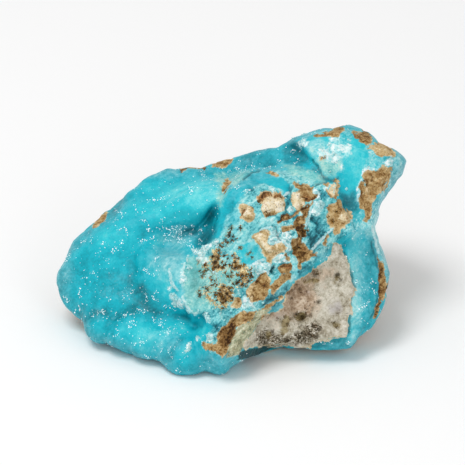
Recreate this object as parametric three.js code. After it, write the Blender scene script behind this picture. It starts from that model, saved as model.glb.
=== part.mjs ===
import * as THREE from 'three';

// Smithsonite specimen: one stone, a blue crust grown over its matrix rock.
// Millimetres, +Z up, standing on a flat foot with the origin on the foot.
// The shape is laid out on the display face, which leans back from upright:
// "across" runs to the right, "up" climbs the face and "out" comes off it.

// Setting of the display face
const faceLean = 30;
const faceHeight = 16.4;

// Box that the stone is netted in, and the size of the net
const netPitch = 1.55;
const netHalfWidth = 37;
const netFront = -27;
const netBack = 30;
const netTop = 40;

// Edge of the stone: the face bulges to a rim that rounds off forwards and backwards
const rimBlend = 1.2;
const rimGrowth = 0.3;
const softEdgeDepth = 7;
const frontRoundLeft = 12;
const frontRoundRight = 42;
const backRound = 19;

// Knobs of the rough skin: cell size of the large and the small ones, and their heights
const knobSize = 7;
const smallKnobSize = 3.6;
const crustKnobHeight = 0.9;
const crustSmallKnobHeight = 0.25;
const matrixKnobHeight = 1.5;
const matrixSmallKnobHeight = 0.5;
const skinReach = 3;

// Broken crystal chunks of the ridge and the head
const chunkSize = 5.2;
const ridgeChunkHeight = 2;
const headChunkHeight = 1.1;
const ridgeChipSize = 2.8;
const ridgeChipHeight = 0.8;
const headChipSize = 2.6;
const headChipHeight = 0.4;

// Outlines on the display face, [across, up]
const stoneOutline = [
  [-35.2, -7], [-34.4, -4.2], [-33, -2.4], [-32.4, 0], [-31.4, 1.8], [-29.2, 3.4], [-26.4, 6.6],
  [-25.2, 7.6], [-24, 8], [-21, 12], [-19.4, 12.8], [-17.8, 14.3], [-14.4, 16.1], [-12.6, 16.4],
  [-11.2, 15.8], [-8.2, 16.5], [-5.6, 16.5], [-0.8, 18.2], [2, 18.6], [5.6, 19.9], [7.6, 20.4],
  [9.8, 20.4], [13.4, 22.4], [19, 24.3], [24, 24.9], [27.8, 23.6], [29.4, 21.4], [33.6, 19.7],
  [34.8, 18.6], [35, 17.4], [34.4, 15.2], [30, 9.8], [29.4, 8.4], [29.6, 7.2], [28.6, 4.2],
  [29.6, 2.6], [31.8, -4.6], [31.2, -9.4], [28, -15.6], [27, -16.2], [25.2, -18.6], [24, -19.5],
  [16.4, -20], [8.4, -18.9], [6, -20], [5.4, -20.9], [2.2, -21.4], [-0.8, -24.5], [-2, -24.8],
  [-4.8, -23.7], [-5.8, -23.7], [-7, -24.5], [-9.2, -25], [-10.8, -24.6], [-12.8, -22.2],
  [-16.4, -22.1], [-20, -20.8], [-23.6, -19], [-26, -19], [-27.6, -18.5], [-28.6, -17.4],
  [-29.2, -14.4], [-30.6, -13.5], [-33.2, -11], [-34.8, -8.4],
];
const softOutline = [
  [-35.2, -7.2], [-32, -0.4], [-23.6, 8.4], [-14, 16], [-3, 17.4], [6.4, 20.2], [15, 23.2],
  [23, 25], [29.6, 22.4], [35.6, 17.8], [31, 12], [28.8, 5], [31.4, -4.4], [29.2, -14.4],
  [23, -19.8], [12, -19.6], [4, -21.6], [-1.6, -24.8], [-11.6, -24.6], [-22, -20], [-29.2, -15.6],
];
const ridgeOutline = [
  [-11.2, -2.8], [-11.6, -5.2], [-11.4, -8], [-9.8, -10.8], [-7, -12.6], [-5, -13.2], [-3.8, -15.2],
  [-5.4, -18], [-4.4, -20.4], [-1.6, -21.4], [1.6, -20.4], [5.6, -14.4], [8, -12.2], [10.8, -10.6],
  [12.2, -7], [18.4, -1.6], [21.6, 1.6], [24.4, 3.8], [23.6, 6.8], [22.2, 9.6], [21.4, 14],
  [19.6, 13.8], [17.6, 15.6], [14.4, 16.4], [11, 16.4], [8.4, 16], [5.6, 16], [3.2, 15.4],
  [0.6, 13.8], [-0.8, 11.4], [-3.4, 2.8], [-5.4, 1], [-7.6, 0.2], [-9.6, -1.2],
];
const headOutline = [
  [13.4, 21.8], [15, 22.8], [19, 24.4], [24, 25], [27.8, 23.8], [29.4, 21.4], [33.6, 19.8],
  [35.2, 18], [34.6, 14.8], [29.6, 8.8], [29.6, 7], [28.2, 4.2], [24.4, 3.6], [22.4, 7.2],
  [20.8, 10.8], [20, 13.8], [15.2, 19.8],
];
const rockOutline = [
  [21.2, 1.8], [22.8, 0.4], [24.2, -4.8], [25.4, -7.4], [24.4, -9.2], [23.8, -15.2], [23, -17.4],
  [14, -18.2], [8.4, -19], [3.6, -19.2], [3.2, -17.6], [5.6, -15.2], [7.2, -12.8], [10.2, -11],
  [11.6, -7.6], [14.6, -4.4], [18, -1.6], [20, 1.2],
];
const wallOutline = [
  [21, 3.6], [24.4, 8], [28.6, 8], [29.2, 5.6], [29.6, 2.6], [31.8, -4.6], [31.2, -9.4], [30.6, -11],
  [29.8, -11.8], [28, -15.6], [27, -16.2], [26, -17.2], [25.2, -18.6], [24, -19.5], [16.4, -20],
  [14, -19.8], [12, -19.2], [14, -14],
];

// Core masses: centre [across, up, out], half sizes, and lean about the across axis in degrees
const masses = [
  { centre: [-16, -1.6, -6], half: [17, 11.5, 7], lean: 32 },
  { centre: [1, 0.8, -4], half: [19, 14.5, 11], lean: 32 },
  { centre: [18, 2.8, -4], half: [15.5, 17, 10], lean: 28 },
  { centre: [-6, -13.6, 2], half: [16, 8, 8], lean: 20 },
  { centre: [20, -12, 0], half: [13, 9, 9], lean: 0 },
  { centre: [-21.5, -10.5, -3], half: [8, 7, 7.5], lean: 0 },
];

// Rounded lumps of the blue crust: [across, up, out at the top, radius]
const fieldLumps = [
  [-32.4, -6.8, -1.4, 4.2], [-28.6, -1.2, -2.4, 4.8], [-25.2, 3, -2.2, 4.4], [-20.6, 7.6, -4.4, 4.8],
  [-18.4, 10.8, -5, 5], [-16, 11, -6, 5], [-12.4, 12.4, -6.6, 4.2], [-6.8, 12.8, -5.6, 4.4],
  [-1.6, 14.4, -6.2, 4.4],
  [3.2, 16.4, -7, 4.6], [8.4, 17.8, -6.4, 4.6], [12.8, 19.4, -5.6, 4.2], [14.4, 17.4, -1.8, 5],
  [10.4, 17.2, -4.2, 4.6], [-29.6, -9.6, -0.6, 4.2], [-22.4, -4.4, 2, 6.5], [-23.6, -10, 2.4, 4.8],
  [-18.4, 2, -1.4, 6], [-13, 7.2, -2.2, 6], [-6, 8.8, -1.2, 5],
];
const backLumps = [[-6, 10, -12, 7], [-16, 5, -10, 6.5], [4, 12, -13, 8]];
const lobeLumps = [
  [-25.8, -14.9, 5.4, 4.3], [-20.9, -17, 8, 4], [-16.4, -17.8, 10.2, 4.4], [-12.4, -18.2, 11.4, 4.4],
  [-9, -21, 13.8, 5], [-4.4, -20.2, 13, 4.2], [-1.4, -21.8, 13.4, 3.6], [-8.8, -17, 11.2, 4.2],
  [-4.6, -16.8, 11, 4], [-20.8, -13.2, 5, 3.8], [-15.6, -13.6, 7.4, 3.6],
];
const bossLumps = [
  [-14.2, -2, 6.8, 4.6], [-10.2, -5, 10.2, 6.2], [-14.2, -7.4, 8.2, 4.9], [-9.2, -9.6, 10.2, 4.8],
];

// Hollows sunk into the crust: centre, half sizes, turns about across, up and out, and edge softness
const hollows = [
  { centre: [-8.8, 3.4, 6.6], half: [8.5, 2.9, 6.6], turn: [-20, 0, 4], soft: 4 },
  { centre: [-3.4, 5.6, 4.4], half: [1.7, 3.9, 8], turn: [0, 0, -22], soft: 1.6 },
  { centre: [-10.4, -13.6, 15.4], half: [10, 2.2, 7.4], turn: [0, 0, -10], soft: 3.2 },
];

// Flat faces at the back, square to a direction at a distance from the origin
const backFaces = [
  { towards: [0.15, 0.92, 0.38], at: 34.4 },
  { towards: [-0.55, 0.8, 0.25], at: 27.4 },
  { towards: [0.62, 0.72, 0.3], at: 40.2 },
  { towards: [0.05, 0.75, -0.66], at: 12.2 },
  { towards: [-0.8, 0.25, -0.55], at: 23.8 },
  { towards: [0.75, 0.35, -0.56], at: 17.8 },
  { towards: [-0.3, 0.9, -0.3], at: 15.2 },
];

const clamp = THREE.MathUtils.clamp;
const sinLean = Math.sin(THREE.MathUtils.degToRad(faceLean));
const cosLean = Math.cos(THREE.MathUtils.degToRad(faceLean));

function smoothMin(first, second, width) {
  const near = Math.max(width - Math.abs(first - second), 0) / width;
  return Math.min(first, second) - near * near * width * 0.25;
}

function smoothMax(first, second, width) {
  return -smoothMin(-first, -second, width);
}

function smoothUnion(distances, width) {
  return distances.reduce((joined, next) => smoothMin(joined, next, width));
}

function ease(value) {
  const step = clamp(value, 0, 1);
  return step * step * (3 - 2 * step);
}

// Distance to a closed outline, negative inside
function outlineDistance(outline, across, up) {
  let nearest = Infinity;
  let inside = false;
  outline.forEach(([startAcross, startUp], index) => {
    const [endAcross, endUp] = outline[(index + 1) % outline.length];
    const edgeAcross = endAcross - startAcross;
    const edgeUp = endUp - startUp;
    const toAcross = across - startAcross;
    const toUp = up - startUp;
    const edgeSquared = edgeAcross * edgeAcross + edgeUp * edgeUp;
    const along = clamp((toAcross * edgeAcross + toUp * edgeUp) / edgeSquared, 0, 1);
    nearest = Math.min(nearest, Math.hypot(toAcross - edgeAcross * along, toUp - edgeUp * along));
    if ((startUp > up) !== (endUp > up) && toAcross < (toUp * edgeAcross) / edgeUp) {
      inside = !inside;
    }
  });
  return inside ? -nearest : nearest;
}

function turned(turn) {
  const [aboutAcross, aboutUp, aboutOut] = turn.map(THREE.MathUtils.degToRad);
  const rotation = new THREE.Euler(aboutAcross, aboutUp, aboutOut, 'ZYX');
  return new THREE.Matrix4().makeRotationFromEuler(rotation).transpose();
}

// Distance to a rounded lump with its own half sizes and turn, close enough near its surface
function roundLump({ centre, half, toLocal }) {
  const place = new THREE.Vector3();
  return (across, up, out) => {
    place.set(across - centre[0], up - centre[1], out - centre[2]);
    if (toLocal) {
      place.applyMatrix4(toLocal);
    }
    const { x, y, z } = place;
    const scaled = Math.hypot(x / half[0], y / half[1], z / half[2]);
    const slope = Math.hypot(x / half[0] ** 2, y / half[1] ** 2, z / half[2] ** 2) + 1e-9;
    return (scaled * (scaled - 1)) / slope;
  };
}

function ball([across, up, out, radius]) {
  return roundLump({ centre: [across, up, out - radius], half: [radius, radius, radius] });
}

// How far out a flat facet lies: its middle, then its slope per mm across and per mm up
function facet(across, up, [atAcross, atUp, atOut, slopeAcross, slopeUp]) {
  return atOut + slopeAcross * (across - atAcross) + slopeUp * (up - atUp);
}

// Repeatable scatter: a number from 0 to 1 for each cell
function scatter(column, row, layer, kind) {
  const wave = Math.sin(column * 127.1 + row * 311.7 + layer * 74.7 + kind * 53.3) * 43758.5453;
  return wave - Math.floor(wave);
}

// Distance from a place to the nearest scattered knob, in knob sizes
function knobDistance(across, up, out, size, kind) {
  const place = [across / size, up / size, out / size];
  const home = place.map(Math.floor);
  let nearest = Infinity;
  for (let column = home[0] - 1; column <= home[0] + 1; column += 1) {
    for (let row = home[1] - 1; row <= home[1] + 1; row += 1) {
      for (let layer = home[2] - 1; layer <= home[2] + 1; layer += 1) {
        const alongAcross = place[0] - column - 0.15 - 0.7 * scatter(column, row, layer, kind);
        const alongUp = place[1] - row - 0.15 - 0.7 * scatter(column, row, layer, kind + 1);
        const alongOut = place[2] - layer - 0.15 - 0.7 * scatter(column, row, layer, kind + 2);
        nearest = Math.min(nearest, Math.hypot(alongAcross, alongUp, alongOut));
      }
    }
  }
  return nearest;
}

// Height of flat-sided crystal chunks over the face, 0 on their tops and lower between them
function chunkHeight(across, up, size, kind) {
  const columnHome = Math.floor(across / size);
  const rowHome = Math.floor(up / size);
  let highest = -Infinity;
  for (let column = columnHome - 1; column <= columnHome + 1; column += 1) {
    for (let row = rowHome - 1; row <= rowHome + 1; row += 1) {
      const random = (offset) => scatter(column, row, 0, kind + offset);
      const sideways = across / size - column - 0.15 - 0.7 * random(0);
      const upwards = up / size - row - 0.15 - 0.7 * random(1);
      const turn = random(2) * 3.14;
      const steep = Math.abs(sideways * Math.cos(turn) + upwards * Math.sin(turn));
      const gentle = Math.abs(upwards * Math.cos(turn) - sideways * Math.sin(turn));
      const fall = steep * (0.7 + 0.8 * random(4)) + gentle * (0.3 + 0.4 * random(5));
      highest = Math.max(highest, 0.35 * random(3) - Math.max(fall - 0.22, 0));
    }
  }
  return highest;
}

function ridgeFront(across, up) {
  const face = facet(across, up, [4, -2, 13, -0.1, -0.16]);
  const crest = facet(across, up, [6.4, 11.2, 10.8, 0, -1.35]);
  const left = facet(across, up, [-6, -5, 11.8, 0.45, -0.3]);
  const right = facet(across, up, [18.4, 5, 10.6, -0.42, -0.05]);
  const front = smoothMin(smoothMin(smoothMin(face, crest, 3), left, 2.5), right, 2);
  const flank = Math.exp(-(((across - 0.5) / 2.6) ** 2) - ((up - 7.5) / 5.5) ** 2);
  const broken = clamp((15.5 - up) / 5, 0.25, 1) * (1 - 0.85 * flank);
  const chunks = ridgeChunkHeight * chunkHeight(across, up, chunkSize, 5);
  const chips = ridgeChipHeight * chunkHeight(across, up, ridgeChipSize, 17);
  return front + broken * (chunks + chips);
}

function headFront(across, up) {
  const top = facet(across, up, [23, 18, 5.4, -0.1, -0.7]);
  const face = facet(across, up, [24, 12, 6, -0.12, -0.1]);
  const end = facet(across, up, [32.4, 14, 4.2, -1.1, -0.2]);
  const front = smoothMin(smoothMin(top, face, 2), end, 2);
  const chunks = headChunkHeight * chunkHeight(across, up, chunkSize, 21);
  const chips = headChipHeight * chunkHeight(across, up, headChipSize, 27);
  return front + chunks + chips;
}

function rockFront(across, up) {
  const face = facet(across, up, [17, -9, 10, -0.2, -0.1]);
  const foot = facet(across, up, [14, -17.6, 10, 0.05, 0.9]);
  return smoothMin(face, foot, 1.5);
}

function wallFront(across, up) {
  const lip = facet(across, up, [30.6, -5, 4.8, -0.6, -0.12]);
  const foot = facet(across, up, [20, -12, 8.4, 0, -0.1]);
  const niche = Math.exp(-(((across - 28) / 2.6) ** 2) - ((up + 4) / 9.5) ** 2);
  return smoothMin(lip, foot, 2) - 2 * niche;
}

// Part of the stone that stands behind an outline with a front of its own and drafted sides
function slab(across, up, out, { outline, front, draft, round }) {
  const frontOut = front(across, up);
  const behind = clamp(frontOut - out, 0, 30);
  const side = outlineDistance(outline, across, up) - draft(up) * behind;
  return smoothMax(side, (out - frontOut) * 0.8, round);
}

const ridgeSlab = {
  outline: ridgeOutline,
  front: ridgeFront,
  draft: (up) => clamp(0.45 - 0.045 * (up - 5), 0.08, 0.45),
  round: 1.4,
};
const headSlab = { outline: headOutline, front: headFront, draft: () => 0.22, round: 1.2 };
const rockSlab = { outline: rockOutline, front: rockFront, draft: () => 0.12, round: 0.6 };
const wallSlab = { outline: wallOutline, front: wallFront, draft: () => 0.2, round: 1.2 };

const massShapes = masses.map((mass) => roundLump({ ...mass, toLocal: turned([mass.lean, 0, 0]) }));
const backShapes = backLumps.map(ball);
const fieldShapes = fieldLumps.map(ball);
const lobeShapes = lobeLumps.map(ball);
const bossShapes = bossLumps.map(ball);
const hollowShapes = hollows.map((hollow) => ({
  distance: roundLump({ ...hollow, toLocal: turned(hollow.turn) }),
  soft: hollow.soft,
}));
const backPlanes = backFaces.map(({ towards, at }) => ({
  normal: new THREE.Vector3(...towards).normalize(),
  at,
}));

// The blue crust with its lobes, boss and hollows
function crustDistance(across, up, out) {
  const measure = (shapes, width) => smoothUnion(shapes.map((shape) => shape(across, up, out)), width);
  let crust = smoothMin(measure(massShapes, 3), measure(backShapes, 3), 4);
  crust = smoothMin(crust, measure(fieldShapes, 2.6), 4.5);
  crust = smoothMin(crust, measure(lobeShapes, 0.8), 1.1);
  crust = smoothMin(crust, measure(bossShapes, 1.6), 1.4);
  hollowShapes.forEach(({ distance, soft }) => {
    crust = smoothMax(crust, -distance(across, up, out), soft);
  });
  return crust;
}

// Distance to the rim of the stone, measured from a seam that runs round it
function rimDistance(across, up, fromSeam) {
  const far = ease(Math.abs(fromSeam) / softEdgeDepth);
  const edge = outlineDistance(stoneOutline, across, up) * (1 - far)
    + outlineDistance(softOutline, across, up) * far;
  const frontRound = frontRoundLeft + (frontRoundRight - frontRoundLeft) * ease((across + 14) / 14);
  const round = fromSeam > 0 ? frontRound : backRound;
  return edge - rimGrowth + (fromSeam * fromSeam) / (2 * round);
}

// Knobs: low and rounded on the crust, coarse on the matrix behind it
function skinHeight(across, up, out, fromSeam) {
  const rough = clamp((-fromSeam - 1) / 6, 0, 1);
  const large = knobDistance(across, up, out, knobSize, 3) ** 2 - 0.25;
  const small = knobDistance(across, up, out, smallKnobSize, 9) ** 2 - 0.25;
  const crust = crustKnobHeight * large + crustSmallKnobHeight * small;
  const matrix = matrixKnobHeight * large + matrixSmallKnobHeight * small;
  return (1 - rough) * crust + rough * matrix;
}

// Distance to the surface of the whole stone at a place in the part's own frame
function stoneDistance(x, y, z) {
  const lift = z - faceHeight;
  const across = x;
  const up = y * sinLean + lift * cosLean;
  const out = lift * sinLean - y * cosLean;
  const slabDistance = (shape) => slab(across, up, out, shape);
  const lowerRight = smoothMin(slabDistance(wallSlab), slabDistance(rockSlab), 0.4);
  let stone = smoothMin(crustDistance(across, up, out), lowerRight, 0.8);
  stone = smoothMin(stone, slabDistance(ridgeSlab), 0.7);
  stone = smoothMin(stone, slabDistance(headSlab), 0.8);
  const fromSeam = out + 3.5 + 0.4 * up - 0.1 * Math.abs(up) - 0.11 * across;
  stone = smoothMax(stone, rimDistance(across, up, fromSeam), rimBlend);
  backPlanes.forEach(({ normal, at }) => {
    stone = smoothMax(stone, normal.x * x + normal.y * y + normal.z * z - at, 1.6);
  });
  if (Math.abs(stone) < skinReach) {
    stone += skinHeight(across, up, out, fromSeam);
  }
  return Math.max(stone, -z);
}

// Samples of the distance on a box grid whose second layer straddles the foot
const counts = [
  Math.ceil((2 * netHalfWidth) / netPitch),
  Math.ceil((netBack - netFront) / netPitch),
  Math.ceil(netTop / netPitch) + 2,
];
const start = [-netHalfWidth, netFront, -1.5 * netPitch];
const samples = new Float64Array(counts[0] * counts[1] * counts[2]);
const strides = [1, counts[0], counts[0] * counts[1]];
const sampleAt = (i, j, k) => i + j * strides[1] + k * strides[2];

for (let k = 0; k < counts[2]; k += 1) {
  for (let j = 0; j < counts[1]; j += 1) {
    for (let i = 0; i < counts[0]; i += 1) {
      const place = [i, j, k].map((step, axis) => start[axis] + step * netPitch);
      samples[sampleAt(i, j, k)] = stoneDistance(...place);
    }
  }
}

// Keeps the one body that holds the middle of the stone, and closes any bubble inside it
function floodFrom(seed, inside) {
  const reached = new Uint8Array(samples.length);
  const waiting = [seed];
  reached[seed] = 1;
  while (waiting.length > 0) {
    const here = waiting.pop();
    strides.forEach((stride, axis) => {
      const step = Math.floor(here / stride) % counts[axis];
      if (step > 0) {
        visit(here - stride);
      }
      if (step < counts[axis] - 1) {
        visit(here + stride);
      }
    });
  }
  function visit(next) {
    if (!reached[next] && (samples[next] < 0) === inside) {
      reached[next] = 1;
      waiting.push(next);
    }
  }
  return reached;
}

const tiny = 0.02;
const middle = sampleAt(Math.floor(counts[0] / 2), Math.round(-netFront / netPitch), 6);

function keepOneBody() {
  const body = floodFrom(middle, true);
  const air = floodFrom(0, false);
  for (let index = 0; index < samples.length; index += 1) {
    if (samples[index] < 0 && !body[index]) {
      samples[index] = tiny;
    } else if (samples[index] >= 0 && !air[index]) {
      samples[index] = -tiny;
    }
  }
}

// The eight corners of a grid cell and the pairs of corners that share an edge
const corners = [];
for (let index = 0; index < 8; index += 1) {
  corners.push([index & 1, (index >> 1) & 1, (index >> 2) & 1]);
}
const cellEdges = [];
corners.forEach((corner, index) => {
  [1, 2, 4].forEach((bit) => {
    if (!(index & bit)) {
      cellEdges.push([index, index | bit]);
    }
  });
});

function cornerSamples(i, j, k) {
  return corners.map(([di, dj, dk]) => sampleAt(i + di, j + dj, k + dk));
}

function forEachCell(action) {
  for (let k = 0; k < counts[2] - 1; k += 1) {
    for (let j = 0; j < counts[1] - 1; j += 1) {
      for (let i = 0; i < counts[0] - 1; i += 1) {
        action(i, j, k);
      }
    }
  }
}

// Whether the corners on one side of the surface hang together along the cell's edges
function hangTogether(cell, inside) {
  const group = corners.map((corner, index) => index);
  const belongs = (index) => (samples[cell[index]] < 0) === inside;
  for (let pass = 0; pass < 4; pass += 1) {
    cellEdges.forEach(([first, second]) => {
      if (belongs(first) && belongs(second)) {
        const lowest = Math.min(group[first], group[second]);
        group[first] = lowest;
        group[second] = lowest;
      }
    });
  }
  return new Set(group.filter((value, index) => belongs(index))).size < 2;
}

// Fills the shallowest air corner of any cell that the surface would pass through twice
function fillPinches() {
  let filled = 0;
  forEachCell((i, j, k) => {
    const cell = cornerSamples(i, j, k);
    if (!hangTogether(cell, true) || !hangTogether(cell, false)) {
      const air = cell.filter((index) => samples[index] >= 0);
      const shallowest = air.reduce((best, index) => (samples[index] < samples[best] ? index : best));
      samples[shallowest] = -tiny;
      filled += 1;
    }
  });
  return filled;
}

keepOneBody();
while (fillPinches() > 0) {
  keepOneBody();
}

// One point of the net in each cell that the surface passes through
const positions = [];
const pointOf = new Map();
const slopeStep = 0.25;
const pullSteps = 2;
const pullReach = 0.25 * netPitch;
const pullInset = 0.05 * netPitch;

function slopeAt(place) {
  return place.map((value, axis) => {
    const ahead = [...place];
    const behind = [...place];
    ahead[axis] += slopeStep;
    behind[axis] -= slopeStep;
    return (stoneDistance(...ahead) - stoneDistance(...behind)) / (2 * slopeStep);
  });
}

function pullToSurface(place, low) {
  let pulled = place;
  for (let step = 0; step < pullSteps; step += 1) {
    const slope = slopeAt(pulled);
    const steepness = Math.max(slope[0] ** 2 + slope[1] ** 2 + slope[2] ** 2, 0.5);
    const move = stoneDistance(...pulled) / steepness;
    pulled = pulled.map((value, axis) => {
      const lowest = Math.max(low[axis] + pullInset, place[axis] - pullReach);
      const highest = Math.min(low[axis] + netPitch - pullInset, place[axis] + pullReach);
      return clamp(value - slope[axis] * move, lowest, highest);
    });
  }
  return pulled;
}

forEachCell((i, j, k) => {
  const cell = cornerSamples(i, j, k);
  const crossings = cellEdges.filter(([first, second]) => (
    (samples[cell[first]] < 0) !== (samples[cell[second]] < 0)
  ));
  if (crossings.length === 0) {
    return;
  }
  const low = [i, j, k].map((step, axis) => start[axis] + step * netPitch);
  const sum = [0, 0, 0];
  crossings.forEach(([first, second]) => {
    const from = samples[cell[first]];
    const along = from / (from - samples[cell[second]]);
    sum.forEach((value, axis) => {
      const corner = corners[first][axis] + along * (corners[second][axis] - corners[first][axis]);
      sum[axis] += corner / crossings.length;
    });
  });
  const onFoot = k === 1 && sum[2] < 0.55;
  const place = pullToSurface(low.map((value, axis) => value + sum[axis] * netPitch), low);
  if (onFoot) {
    place[2] = 0;
  }
  pointOf.set(sampleAt(i, j, k), positions.length / 3);
  positions.push(...place);
});

// Two triangles across each grid edge that the surface crosses
const triangles = [];

function distanceBetween(first, second) {
  const gaps = [0, 1, 2].map((axis) => positions[first * 3 + axis] - positions[second * 3 + axis]);
  return Math.hypot(...gaps);
}

forEachCell((i, j, k) => {
  const here = sampleAt(i, j, k);
  strides.forEach((stride, axis) => {
    const inside = samples[here] < 0;
    if (inside === (samples[here + stride] < 0)) {
      return;
    }
    const sideways = strides[(axis + 1) % 3];
    const beyond = strides[(axis + 2) % 3];
    const ring = [here, here - sideways, here - sideways - beyond, here - beyond];
    const [a, b, c, d] = (inside ? ring : ring.reverse()).map((cell) => pointOf.get(cell));
    if (distanceBetween(a, c) < distanceBetween(b, d)) {
      triangles.push(a, b, c, a, c, d);
    } else {
      triangles.push(a, b, d, b, c, d);
    }
  });
});

const stoneGeometry = new THREE.BufferGeometry();
stoneGeometry.setAttribute('position', new THREE.Float32BufferAttribute(positions, 3));
stoneGeometry.setIndex(triangles);
stoneGeometry.computeVertexNormals();

const stoneMaterial = new THREE.MeshStandardMaterial({ color: 0x35b4c4, roughness: 0.45, metalness: 0 });
const smithsoniteSpecimen = new THREE.Mesh(stoneGeometry, stoneMaterial);
smithsoniteSpecimen.name = 'smithsonite_specimen';

const specimen = new THREE.Group();
specimen.add(smithsoniteSpecimen);

export default specimen;
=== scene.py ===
import math
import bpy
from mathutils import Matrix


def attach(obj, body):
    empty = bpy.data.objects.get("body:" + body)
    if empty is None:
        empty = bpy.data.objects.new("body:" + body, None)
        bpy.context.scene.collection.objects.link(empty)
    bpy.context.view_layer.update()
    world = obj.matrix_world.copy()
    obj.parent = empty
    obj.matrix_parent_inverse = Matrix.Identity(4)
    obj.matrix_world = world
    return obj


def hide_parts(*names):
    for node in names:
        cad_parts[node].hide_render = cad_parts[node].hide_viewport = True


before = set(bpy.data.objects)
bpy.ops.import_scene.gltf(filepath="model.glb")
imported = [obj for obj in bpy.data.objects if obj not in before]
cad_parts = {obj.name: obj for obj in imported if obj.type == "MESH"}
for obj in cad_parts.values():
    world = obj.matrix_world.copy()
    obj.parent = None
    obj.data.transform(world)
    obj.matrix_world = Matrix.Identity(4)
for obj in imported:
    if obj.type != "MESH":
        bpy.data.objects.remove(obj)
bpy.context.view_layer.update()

from concurrent.futures import ThreadPoolExecutor
from itertools import product

import bpy
import numpy as np
from mathutils import Vector

mm = 0.001

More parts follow.
